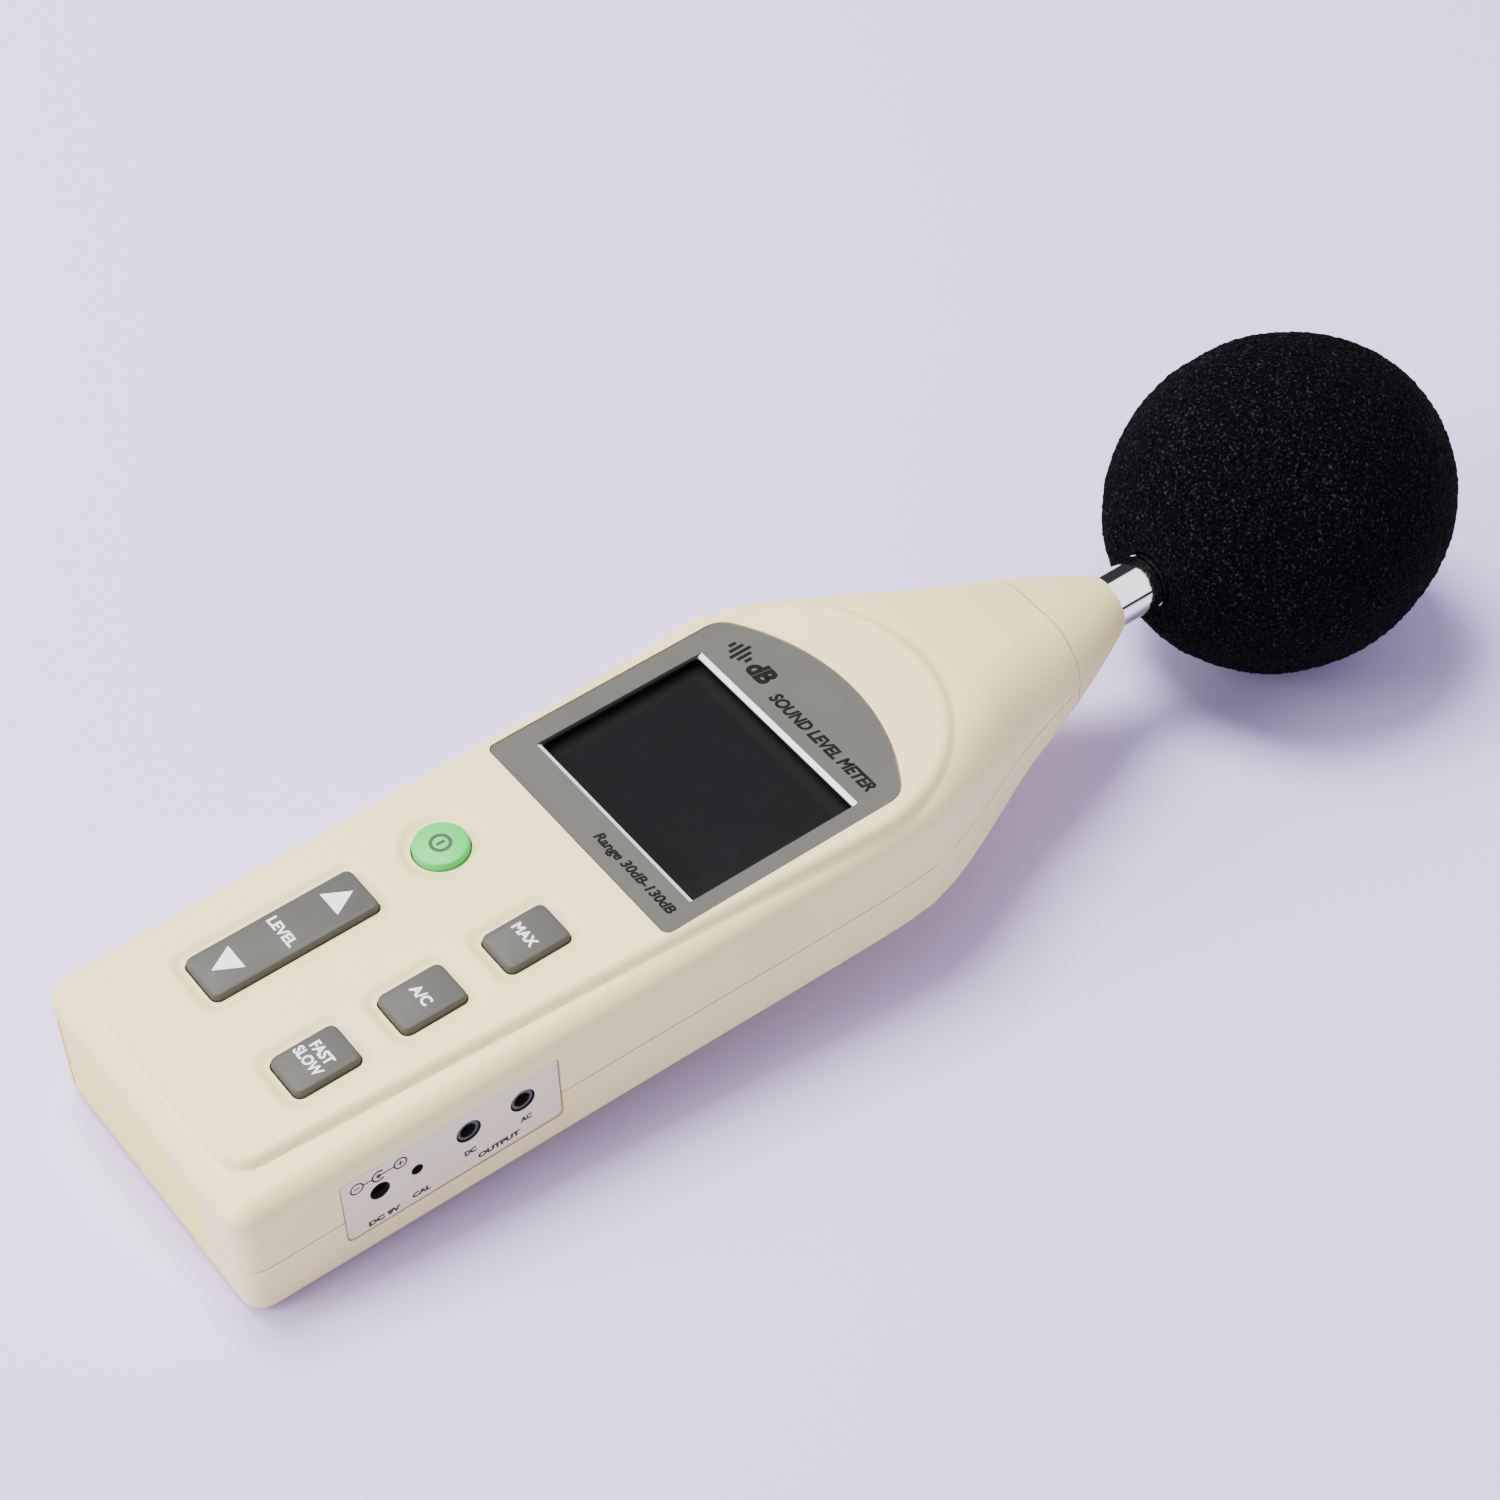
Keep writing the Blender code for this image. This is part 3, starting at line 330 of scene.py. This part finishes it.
def lay_on(name, bm, centre, across, up, target, material, body):
    """Wraps a flat solid, drawn round its own middle, onto a surface as ink."""
    ink_top = 0.05      # above the surface
    ink_low = 0.06      # below it
    reach = 6.0         # how far out the search for the surface starts
    out = Vector(across).cross(Vector(up))
    for v in bm.verts:
        high = v.co.z > 0
        base = (Vector(centre) + Vector(across) * v.co.x + Vector(up) * v.co.y) * MM
        hit = target.ray_cast(base + out * reach * MM, -out)[0]
        ground = hit if hit is not None else base
        v.co = ground + out * (ink_top if high else -ink_low) * MM
    mesh = bpy.data.meshes.new(name)
    bm.to_mesh(mesh)
    bm.free()
    piece(name, mesh, material, body)


def embolden(bm, weight):
    """Moves the outlines of flat lettering outwards by the weight, a little more at the corners."""
    sharpest = 0.55     # keeps a sharp corner from shooting out
    bm.normal_update()
    moves = []
    for v in bm.verts:
        walls = [f.normal for f in v.link_faces if abs(f.normal.z) < 0.5]
        out = sum(walls, Vector()).normalized()
        lean = min(max(out.dot(wall), sharpest) for wall in walls)
        moves.append(out * weight / lean)
    for v, move in zip(bm.verts, moves):
        v.co += move


def lettering(words, width, height, weight, slant=0.0):
    """Plain sans lettering as a flat solid of that width and height."""
    welded = 1e-5
    curve = bpy.data.curves.new("lettering", "FONT")
    curve.body = words
    curve.extrude = 0.1
    curve.shear = slant
    curve.resolution_u = 5
    curve.align_x = "CENTER"
    holder = bpy.data.objects.new("lettering", curve)
    bpy.context.scene.collection.objects.link(holder)
    bpy.context.view_layer.update()
    mesh = bpy.data.meshes.new_from_object(holder.evaluated_get(bpy.context.evaluated_depsgraph_get()))
    bpy.data.objects.remove(holder)
    bpy.data.curves.remove(curve)
    bm = bmesh.new()
    bm.from_mesh(mesh)
    bpy.data.meshes.remove(mesh)
    bmesh.ops.remove_doubles(bm, verts=bm.verts, dist=welded)
    embolden(bm, weight)
    xs = [v.co.x for v in bm.verts]
    ys = [v.co.y for v in bm.verts]
    for v in bm.verts:
        v.co.x = ((v.co.x - min(xs)) / (max(xs) - min(xs)) - 0.5) * width
        v.co.y = ((v.co.y - min(ys)) / (max(ys) - min(ys)) - 0.5) * height
    return bm


def shapes(*outlines):
    """Flat solids from closed outlines; a pair of outlines is a ring."""
    bm = bmesh.new()
    for outline in outlines:
        outer, inner = outline if isinstance(outline, tuple) else (outline, None)
        rings = []
        for points in (outer, inner):
            if points:
                rings.append([[bm.verts.new((x, y, z)) for x, y in points] for z in (-0.1, 0.1)])
        count = len(outer)
        for k in range(count):
            j = (k + 1) % count
            for n, (low, high) in enumerate(rings):
                side = (low[k], low[j], high[j], high[k])
                bm.faces.new(side if n == 0 else tuple(reversed(side)))
            if inner:
                for level, flip in ((1, False), (0, True)):
                    quad = (rings[0][level][k], rings[0][level][j], rings[1][level][j], rings[1][level][k])
                    bm.faces.new(tuple(reversed(quad)) if flip else quad)
        if not inner:
            bm.faces.new(rings[0][1])
            bm.faces.new(tuple(reversed(rings[0][0])))
    bmesh.ops.recalc_face_normals(bm, faces=bm.faces)
    return bm


def arc(x, y, radius, start, end, steps):
    """Points along an arc, both ends included; angles in degrees."""
    turns = np.radians(np.linspace(start, end, steps + 1))
    return [(x + radius * math.cos(a), y + radius * math.sin(a)) for a in turns]


def circle(x, y, radius):
    return arc(x, y, radius, 0, 360, 28)[:-1]


def ring(x, y, outer, inner):
    return circle(x, y, outer), circle(x, y, inner)


def bow(x, y, outer, inner, start, turn):
    """An open ring."""
    return arc(x, y, outer, start, start + turn, 23) + arc(x, y, inner, start, start + turn, 23)[::-1]


def box(x, y, width, height):
    return [(x - width / 2, y - height / 2), (x + width / 2, y - height / 2),
            (x + width / 2, y + height / 2), (x - width / 2, y + height / 2)]


RIGHT = (1, 0, 0)
NOSEWARD = (0, 1, 0)
UP = (0, 0, 1)
PANEL = surface("display_panel")
PLATE = surface("jack_plate")
PLATE_X = 36.5


def on_key(name, bm, x, y, key, ink):
    lay_on(name, bm, (x, y, FACE_Z), RIGHT, NOSEWARD, surface(key), ink, key)


def on_panel(name, bm, x, y, ink):
    lay_on(name, bm, (x, y, FACE_Z), RIGHT, NOSEWARD, PANEL, ink, "housing")


def on_plate(name, bm, y, z):
    lay_on(name, bm, (PLATE_X, y, z), NOSEWARD, UP, PLATE, GREY_INK, "housing")


def key_printing():
    """The keys' legends, the two arrows and the power symbol."""
    weight = 0.03
    legends = (
        ("max_legend", "MAX", 6.6, 2.3, 14.8, -24.4, "max_key"),
        ("weighting_legend", "A/C", 5.4, 2.4, 14.8, -48.6, "weighting_key"),
        ("response_legend", "FAST\nSLOW", 8.0, 5.6, 14.8, -72.6, "response_key"),
        ("level_legend", "LEVEL", 8.6, 2.3, -15.0, -61.4, "level_rocker"),
    )
    for name, words, width, height, x, y, key in legends:
        on_key(name, lettering(words, width, height, weight), x, y, key, WHITE_INK)
    for name, y, way in (("level_up_mark", -47.9, 1), ("level_down_mark", -74.4, -1)):
        arrow = shapes([(-3.3, -2.7 * way), (3.3, -2.7 * way), (0.0, 3.0 * way)])
        on_key(name, arrow, -15.2, y, "level_rocker", WHITE_INK)
    symbol = shapes(ring(0, 0, 2.4, 1.65), box(0, 0, 0.7, 2.0))
    on_key("power_symbol", symbol, -15.0, -24.4, "power_key", GREEN_INK)


def panel_printing():
    """Title, range, a plain mark of five bars with the unit, and painted highlights along the window's top
    and bottom edges.
    """
    on_panel("panel_title", lettering("SOUND LEVEL METER", 33.0, 3.0, 0.04, 0.25), 9.6, 52.7, BLACK_INK)
    on_panel("panel_range", lettering("Range 30dB-130dB", 25.6, 3.0, 0.034, 0.2), 14.4, 1.8, BLACK_INK)
    heights = ((-6.4, 1.8), (-5.0, 3.6), (-3.6, 5.4), (-2.2, 3.6), (-0.8, 1.8))
    bars = [box(x, 0, 0.8, height) for x, height in heights]
    on_panel("panel_mark_bars", shapes(*bars), -17.2, 54.6, BLACK_INK)
    on_panel("panel_mark_unit", lettering("dB", 6.2, 4.8, 0.05, 0.2), -13.4, 54.6, BLACK_INK)
    # Painted highlights: white strips along the window's top and bottom edges, where the light catches them.
    for name, y in (("window_highlight_high", 47.675), ("window_highlight_low", 6.725)):
        on_panel(name, shapes(box(0, 0, 52.6, 0.95)), WINDOW[0], y, WHITE_INK)


def plate_printing():
    """Labels of the sockets, and the supply's polarity sign."""
    weight = 0.055
    labels = (
        ("label_supply", "DC 9V", 7.2, 1.5, -74.1, 8.9),
        ("label_trimmer", "CAL", 4.2, 1.4, -65.6, 9.5),
        ("label_dc", "DC", 2.7, 1.5, -54.0, 12.6),
        ("label_ac", "AC", 2.7, 1.5, -41.0, 12.6),
        ("label_output", "OUTPUT", 9.8, 1.5, -47.6, 9.6),
    )
    for name, words, width, height, y, z in labels:
        on_plate(name, lettering(words, width, height, weight), y, z)
    minus = (ring(-4.9, 0, 1.55, 1.2), box(-4.9, 0, 1.3, 0.3))
    centre = (bow(0, 0, 1.6, 1.2, 45.0, 270.0), circle(0, 0, 0.55))
    plus = (ring(4.9, 0, 1.55, 1.2), box(4.9, 0, 1.3, 0.3), box(4.9, 0.4, 0.3, 0.5), box(4.9, -0.4, 0.3, 0.5))
    lines = (box(-2.5, 0, 1.9, 0.3), box(1.9, 0, 2.9, 0.3))
    on_plate("label_polarity", shapes(*minus, *centre, *plus, *lines), -74.0, 21.8)


key_printing()
panel_printing()
plate_printing()


# ---------------------------------------------------------------- casing

END_Y = -104.4
END_ROUND = 5.0
WALL = 2.4
FLOOR = 3.0
GAP = 0.3
PARTING_Z = 14.0
NOSE_SPLIT_Y = 117.0
MIN_CORNER = 0.8
# Stations along the housing: y, half width, shoulder height, underside, upper and lower corner radius.
STATIONS = np.array((
    (-104.4, 36.5, 32.1, 0.0, 4.8, 3.0),
    (-20.0, 36.9, 32.1, 0.0, 4.8, 3.0),
    (50.0, 37.5, 32.2, 0.0, 5.0, 3.0),
    (60.0, 36.9, 32.6, 0.0, 6.0, 3.0),
    (74.5, 32.7, 33.1, 0.1, 10.0, 3.6),
    (84.3, 28.6, 32.9, 0.4, 12.5, 4.6),
    (98.0, 22.9, 31.0, 0.9, 13.5, 6.5),
    (114.7, 17.6, 26.8, 1.9, 12.4, 8.5),
    (127.5, 12.4, 23.0, 3.4, 10.0, 8.3),
    (138.2, 7.2, 19.26, 4.86, 7.2, 7.2),
))
# Outline of the raised face: an arch at the nose, straight sides and a straight end with round corners.
ARCH_Y = 49.4
ARCH_RADIUS = 35.4
FACE_END_Y = -99.0
FACE_END_HALF = 27.7
FACE_CORNER = 6.0
FACE_FLANK_Z = 24.0         # below this height the housing keeps its own form
# The keys: middle, then the round one's radius or the others' width and height.
POWER_KEY = (-15.0, -24.4, 5.9)
KEYS = {"max_key": (15.0, -24.4, 10.7, 14.8), "weighting_key": (15.0, -48.6, 10.7, 14.8),
        "response_key": (15.0, -72.8, 10.7, 14.8), "level_rocker": (-15.0, -61.4, 12.0, 38.2)}


def section(y):
    """Every housing measure at y, on a curve through the stations that never overshoots them."""
    places = STATIONS[:, 0]
    values = STATIONS[:, 1:]
    steps = np.diff(places)[:, None]
    secants = np.diff(values, axis=0) / steps
    slopes = np.zeros_like(values)
    product = secants[:-1] * secants[1:]
    total = secants[:-1] + secants[1:]
    steady = product > 0
    slopes[1:-1][steady] = 2.0 * product[steady] / total[steady]
    slopes[0] = secants[0]
    slopes[-1] = secants[-1]
    i = int(np.clip(np.searchsorted(places, y) - 1, 0, len(places) - 2))
    h = places[i + 1] - places[i]
    t = (y - places[i]) / h
    near = (1 + 2 * t) * (1 - t) ** 2 * values[i] + t * (1 - t) ** 2 * h * slopes[i]
    return near + t ** 2 * (3 - 2 * t) * values[i + 1] + t ** 2 * (t - 1) * h * slopes[i + 1]


def rounded(x, y, width, height, radius, steps=8):
    """Rectangle with round corners, anticlockwise."""
    half_x = width / 2 - radius
    half_y = height / 2 - radius
    corners = ((half_x, half_y, 0), (-half_x, half_y, 90), (-half_x, -half_y, 180), (half_x, -half_y, 270))
    outline = []
    for shift_x, shift_y, start in corners:
        outline += arc(x + shift_x, y + shift_y, radius, start, start + 90, steps)
    return outline


def at_height(outline, z):
    return [(x, y, z) for x, y in outline]


def skin(bm, rings):
    """Adds the faces between a row of equal rings, and the two end faces."""
    loops = [[bm.verts.new(Vector(p) * MM) for p in one] for one in rings]
    for low, high in zip(loops, loops[1:]):
        for k in range(len(low)):
            j = (k + 1) % len(low)
            bm.faces.new((low[k], low[j], high[j], high[k]))
    bm.faces.new(loops[0][::-1])
    bm.faces.new(loops[-1])
    bmesh.ops.recalc_face_normals(bm, faces=bm.faces)


def solid(name, *lofts):
    """One object from several separate lofts, each a row of rings."""
    bm = bmesh.new()
    for rings in lofts:
        part = bmesh.new()
        skin(part, rings)
        mesh = bpy.data.meshes.new("part")
        part.to_mesh(mesh)
        part.free()
        bm.from_mesh(mesh)
        bpy.data.meshes.remove(mesh)
    mesh = bpy.data.meshes.new(name)
    bm.to_mesh(mesh)
    bm.free()
    made = bpy.data.objects.new(name, mesh)
    bpy.context.scene.collection.objects.link(made)
    return made


def upright(outline, low, high):
    """Loft of an outline in x and y, from one height to another."""
    return [at_height(outline, low), at_height(outline, high)]


def sideways(outline, low, high):
    """Loft of an outline in y and z, from one x to another."""
    return [[(x, y, z) for y, z in outline] for x in (low, high)]


def brick(low, high):
    outline = [(low[0], low[1]), (high[0], low[1]), (high[0], high[1]), (low[0], high[1])]
    return upright(outline, low[2], high[2])


def carve(body, tools):
    """Takes the tools away from body, one after another, and bakes the result into its mesh."""
    for tool in tools:
        modifier = body.modifiers.new(tool.name, "BOOLEAN")
        modifier.operation = "DIFFERENCE"
        modifier.solver = "EXACT"
        modifier.object = tool
    bpy.context.view_layer.update()
    mesh = bpy.data.meshes.new_from_object(body.evaluated_get(bpy.context.evaluated_depsgraph_get()))
    body.modifiers.clear()
    body.data = mesh
    for tool in tools:
        bpy.data.objects.remove(tool)


def face_depth(x, y):
    """How far a point lies inside the raised face's outline, negative outside it."""
    if y >= ARCH_Y:
        return ARCH_RADIUS - math.hypot(x, y - ARCH_Y)
    straight_from = FACE_END_Y + FACE_CORNER
    along = (y - straight_from) / (ARCH_Y - straight_from)
    side = FACE_END_HALF + (ARCH_RADIUS - FACE_END_HALF) * max(along, 0.0) - abs(x)
    end = y - FACE_END_Y
    if side < FACE_CORNER and end < FACE_CORNER:
        return FACE_CORNER - math.hypot(FACE_CORNER - side, FACE_CORNER - end)
    return min(side, end)


def raised(x, y, z):
    """Height of the casing's top at a point: the housing blended with the raised face by a soft foot."""
    fade_from = 50.0
    fade_length = 35.0
    fade = min(max((y - fade_from) / fade_length, 0.0), 1.0)
    rim = 1.9 + 1.4 * fade
    blend = 1.5 + 1.3 * fade
    flank_slope = 3.0
    depth = face_depth(x, y)
    if depth >= rim:
        face = FACE_Z
    elif depth > 0:
        face = FACE_Z - rim + math.sqrt(rim ** 2 - (rim - depth) ** 2)
    else:
        face = FACE_Z - rim + flank_slope * depth
    overlap = max(blend - abs(face - z), 0.0)
    return min(max(face, z) + overlap ** 2 / (4 * blend), FACE_Z)


def shrunk_section(y, inset, floor_inset):
    """The housing's measures at y, drawn in by one distance at the sides and top and another below."""
    half, top, under, upper, lower = section(y)
    half -= inset
    top -= inset
    under += floor_inset
    most = min(half, (top - under) / 2)
    upper = max(min(upper - inset, most), MIN_CORNER)
    lower = max(min(lower - floor_inset, most), MIN_CORNER)
    return half, top, under, upper, lower


def casing_ring(y, inset=0.0, floor_inset=0.0, shift=0.0):
    """Fine cross-section of the housing at y, with the raised face on its top."""
    half, top, under, upper, lower = shrunk_section(y, inset, floor_inset)
    flat = half - upper
    inner = 0.55 * flat
    outline = arc(flat, top - upper, upper, 0, 90, 22)
    outline += [(x, top) for x in np.linspace(flat, inner, 34)[1:]]
    outline += [(x, top) for x in np.linspace(inner, -inner, 12)[1:-1]]
    outline += [(x, top) for x in np.linspace(-inner, -flat, 34)[:-1]]
    outline += arc(-flat, top - upper, upper, 90, 180, 22)
    outline += arc(lower - half, under + lower, lower, 180, 270, 8)
    outline += arc(half - lower, under + lower, lower, 270, 360, 8)
    place = y + shift
    return [(x, place, raised(x, place, z) if z > FACE_FLANK_Z else z) for x, z in outline]


def casing_body(name):
    """Outer form of the housing with its raised face and rounded bottom end."""
    floor_share = 0.6
    rings = []
    for turn in np.radians(np.linspace(0, 82, 12)):
        inset = END_ROUND * (1 - math.sin(turn))
        rings.append(casing_ring(END_Y, inset, inset * floor_share, END_ROUND * (1 - math.cos(turn))))
    # Spans along y, each with its number of sections.
    spans = ((-99.4, -92.0, 16), (-92.0, 44.0, 46), (44.0, 90.0, 58), (90.0, 120.0, 14))
    for low, high, count in spans:
        rings += [casing_ring(float(y)) for y in np.linspace(low, high, count + 1)[:-1]]
    return solid(name, rings)


def panel_outline(grow):
    """Outline of the display panel: straight sides and a shallow arched top."""
    half = 31.0 + grow
    corner = 1.6 + grow
    low = -2.3 - grow
    top_radius = 51.0 + grow
    blend = 6.0 + grow
    arch_y = 15.8
    turn = math.acos((half - blend) / (top_radius - blend))
    blend_y = arch_y + (top_radius - blend) * math.sin(turn)
    angle = math.degrees(turn)
    outline = arc(half - blend, blend_y, blend, 0, angle, 10)
    outline += arc(0.0, arch_y, top_radius, angle, 180 - angle, 50)[1:-1]
    outline += arc(blend - half, blend_y, blend, 180 - angle, 180, 10)
    outline += arc(corner - half, low + corner, corner, 180, 270, 8)
    outline += arc(half - corner, low + corner, corner, 270, 360, 8)
    return outline


def key_outline(name, margin):
    """Outline of a key, enlarged by a margin."""
    if name == "power_key":
        x, y, radius = POWER_KEY
        return arc(x, y, radius + margin, 0, 354, 59)
    x, y, width, height = KEYS[name]
    return rounded(x, y, width + 2 * margin, height + 2 * margin, 1.6 + margin * 0.8)


def key_dish(name):
    """Shallow recess round a key, falling in a smooth curve from its rim to the key's hole."""
    depth = 0.8
    narrow = 0.8
    wide = 3.4
    rings = []
    for t in np.linspace(0, 1, 9):
        margin = narrow + (wide - narrow) * t
        rings.append(at_height(key_outline(name, margin), FACE_Z - depth * (1 + math.cos(math.pi * t)) / 2))
    return rings + [at_height(key_outline(name, wide), FACE_Z + 0.4)]


def cavity_ring(y):
    """Cross-section of the hollow inside the housing at y."""
    half, top, under, upper, lower = shrunk_section(y, WALL, FLOOR)
    outline = arc(half - upper, top - upper, upper, 0, 90, 5)
    outline += arc(upper - half, top - upper, upper, 90, 180, 5)
    outline += arc(lower - half, under + lower, lower, 180, 270, 5)
    outline += arc(half - lower, under + lower, lower, 270, 360, 5)
    return [(x, y, z) for x, z in outline]


def front_casing():
    """The front shell at full smoothness, with every opening of the CAD node.

    The window's opening is a little larger than the node's, so that its edge stays behind the panel.
    """
    hole_margin = 0.35
    panel_margin = 0.25
    body = casing_body("front_casing")
    keys = ("power_key", *KEYS)
    cavity = [cavity_ring(float(y)) for y in np.linspace(END_Y + WALL + 0.2, 118.0, 20)]
    ceiling = [(x * 0.93, y * 0.985 - 0.6) for x, y in arc(0.0, ARCH_Y, ARCH_RADIUS, 0, 180, 24)]
    ceiling += [(-25.3, -96.0), (25.3, -96.0)]
    below = brick((-60, -120, -5), (60, 150, PARTING_Z + GAP / 2))
    nose = brick((-40, NOSE_SPLIT_Y - GAP / 2, -5), (40, 150, 40))
    panel = upright(panel_outline(panel_margin), 33.0, 36.0)
    side_plate = sideways(rounded(-57.55, 16.15, 49.5 + 2 * GAP, 17.5 + 2 * GAP, 1.5), 33.0, 39.0)
    end_plate = brick((-31.3, -107.0, 3.5), (21.8, -103.0, 24.9))
    window = upright(rounded(*WINDOW, 56.8, 43.6, 0.8, 4), 29.0, 36.0)
    dishes = [key_dish(name) for name in keys]
    holes = [upright(key_outline(name, hole_margin), 29.0, 36.0) for name in keys]
    carve(body, (
        solid("tool_cavity", cavity),
        solid("tool_ceiling", upright(ceiling, 26.0, 31.7)),
        solid("tool_parting", below),
        solid("tool_sides", nose, panel, side_plate, end_plate),
        solid("tool_dishes", window, *dishes),
        solid("tool_key_holes", *holes),
    ))
    body.data.materials.clear()
    body.data.materials.append(LOOKS["cream_plastic"])
    body.modifiers.new("smooth", "NODES").node_group = SMOOTHING
    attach(body, "housing")
    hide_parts("front_shell")


front_casing()


# ---------------------------------------------------------------- windscreen

def windscreen():
    """Open-cell foam ball with a bore for the microphone, its surface broken by the foam's cells."""
    middle_y = 190.3
    axis_z = 12.06
    radius = 38.0
    half_length = 41.5
    bore = 6.5
    bore_end = 166.0
    flat_end = 14.2         # radius of the flattened part round the mouth
    around = 400
    along = 190
    mouth = middle_y - half_length * math.cos(math.radians(20))
    profile = [(bore_end, 0.4), (bore_end, bore * 0.6), (bore_end, bore)]
    profile += [(y, bore) for y in np.linspace(bore_end, mouth + 0.5, 24)[1:]]
    profile += [(mouth + 0.15, bore + 0.15)]
    profile += [(mouth + 0.5 * (r / flat_end) ** 4, r) for r in np.linspace(bore + 0.5, flat_end - 0.6, 12)]
    for turn in np.radians(np.linspace(158, 0.5, along)):
        profile.append((middle_y + half_length * math.cos(turn), radius * math.sin(turn)))
    bm = bmesh.new()
    rings = []
    for y, r in profile:
        ring_points = []
        for k in range(around):
            turn = 2 * math.pi * k / around
            ring_points.append((r * math.sin(turn), y, axis_z + r * math.cos(turn)))
        rings.append(ring_points)
    skin(bm, rings)
    bm.normal_update()
    moves = []
    for v in bm.verts:
        place = v.co / MM
        lumps = noise.noise(place * 0.09) * 0.35
        cells = noise.voronoi(place * 0.62)[0][0] - 0.42
        fine = noise.noise(place * 1.9)
        from_bore = math.hypot(place.x, place.z - axis_z) - bore
        free = min(max(from_bore / 2.5, 0.1), 1.0)      # the surface stays calm near the tube
        moves.append(v.normal * free * (lumps - 0.55 * cells + 0.16 * fine - 0.25) * MM)
    for v, move in zip(bm.verts, moves):
        v.co += move
    for face in bm.faces:
        face.smooth = True
    mesh = bpy.data.meshes.new("foam_windscreen")
    bm.to_mesh(mesh)
    bm.free()
    ball = piece("foam_windscreen", mesh, LOOKS["black_foam"], "windscreen")
    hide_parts("windscreen")


windscreen()


# ---------------------------------------------------------------- floor, light and camera

def backdrop():
    """Floor under the meter as it lies: on its bottom edge and on the foam ball."""
    floor_slope = 0.0897
    mesh = bpy.data.meshes.new("floor")
    bm = bmesh.new()
    bmesh.ops.create_grid(bm, x_segments=4, y_segments=4, size=4.0)
    bm.to_mesh(mesh)
    bm.free()
    floor = bpy.data.objects.new("floor", mesh)
    bpy.context.scene.collection.objects.link(floor)
    floor.rotation_euler = (-math.atan(floor_slope), 0, 0)
    floor.location = (0, -0.101, -0.0002)
    s = Shader("pale_floor", (0.70, 0.60, 1.0), 0.95, Specular_IOR_Level=0.1)
    seen = s.node("ShaderNodeLightPath").outputs["Is Camera Ray"]
    s.paint(s.mix(seen, (0.72, 0.67, 0.90), s.shades(2.0, 0.01)))
    mesh.materials.append(s.material)


def area_light(name, place, aim, size, power, colour):
    data = bpy.data.lights.new(name, "AREA")
    data.shape = "RECTANGLE"
    data.size, data.size_y = size
    data.energy = power
    data.color = colour
    lamp = bpy.data.objects.new(name, data)
    bpy.context.scene.collection.objects.link(lamp)
    lamp.location = place
    lamp.rotation_euler = (Vector(place) - Vector(aim)).to_track_quat("Z", "Y").to_euler()


def surroundings():
    """Pale, even light all round; in reflections, a bright ceiling above darker walls."""
    world = bpy.data.worlds.new("studio")
    bpy.context.scene.world = world
    world.use_nodes = True
    nodes, links = world.node_tree.nodes, world.node_tree.links
    even = nodes["Background"]
    even.inputs["Color"].default_value = (0.86, 0.85, 0.97, 1.0)
    even.inputs["Strength"].default_value = 0.8
    way = nodes.new("ShaderNodeSeparateXYZ")
    links.new(nodes.new("ShaderNodeTexCoord").outputs["Generated"], way.inputs[0])
    lean = nodes.new("ShaderNodeMath")
    lean.operation = "MULTIPLY_ADD"
    lean.inputs[1].default_value = 0.5
    links.new(way.outputs["X"], lean.inputs[0])
    links.new(way.outputs["Z"], lean.inputs[2])
    edges = []
    for source, low, high in ((lean.outputs[0], 0.50, 0.56), (way.outputs["Z"], 0.10, 0.14)):
        edge = nodes.new("ShaderNodeMapRange")
        edge.inputs["From Min"].default_value = low
        edge.inputs["From Max"].default_value = high
        links.new(source, edge.inputs["Value"])
        edges.append(edge.outputs["Result"])
    ceiling = nodes.new("ShaderNodeMath")
    ceiling.operation = "MULTIPLY"
    links.new(edges[0], ceiling.inputs[0])
    links.new(edges[1], ceiling.inputs[1])
    power = nodes.new("ShaderNodeMapRange")
    power.inputs["To Min"].default_value = 0.05
    power.inputs["To Max"].default_value = 2.4
    links.new(ceiling.outputs[0], power.inputs["Value"])
    seen = nodes.new("ShaderNodeBackground")
    seen.inputs["Color"].default_value = (0.95, 0.95, 1.0, 1.0)
    links.new(power.outputs["Result"], seen.inputs["Strength"])
    choose = nodes.new("ShaderNodeMixShader")
    links.new(nodes.new("ShaderNodeLightPath").outputs["Is Glossy Ray"], choose.inputs[0])
    links.new(even.outputs[0], choose.inputs[1])
    links.new(seen.outputs[0], choose.inputs[2])
    links.new(choose.outputs[0], nodes["World Output"].inputs["Surface"])


def studio():
    surroundings()
    middle = (0.0, 0.05, 0.01)
    warm = (1.0, 0.98, 0.96)
    area_light("key_light", (-0.6, -0.05, 1.75), middle, (0.85, 0.85), 68.0, warm)
    area_light("end_light", (-0.5, -1.4, 1.0), middle, (1.0, 1.0), 40.0, warm)


def camera():
    data = bpy.data.cameras.new("camera")
    data.sensor_width = 36.0
    data.lens = 84.456
    made = bpy.data.objects.new("camera", data)
    bpy.context.scene.collection.objects.link(made)
    right = (0.60141, 0.79867, -0.02064)
    up = (-0.58606, 0.45857, 0.66802)
    back = (0.54299, -0.38966, 0.74386)
    turn = Matrix((right, up, back)).transposed().to_4x4()
    made.matrix_world = Matrix.Translation((0.39188, -0.23981, 0.56767)) @ turn
    bpy.context.scene.camera = made


backdrop()
studio()
camera()
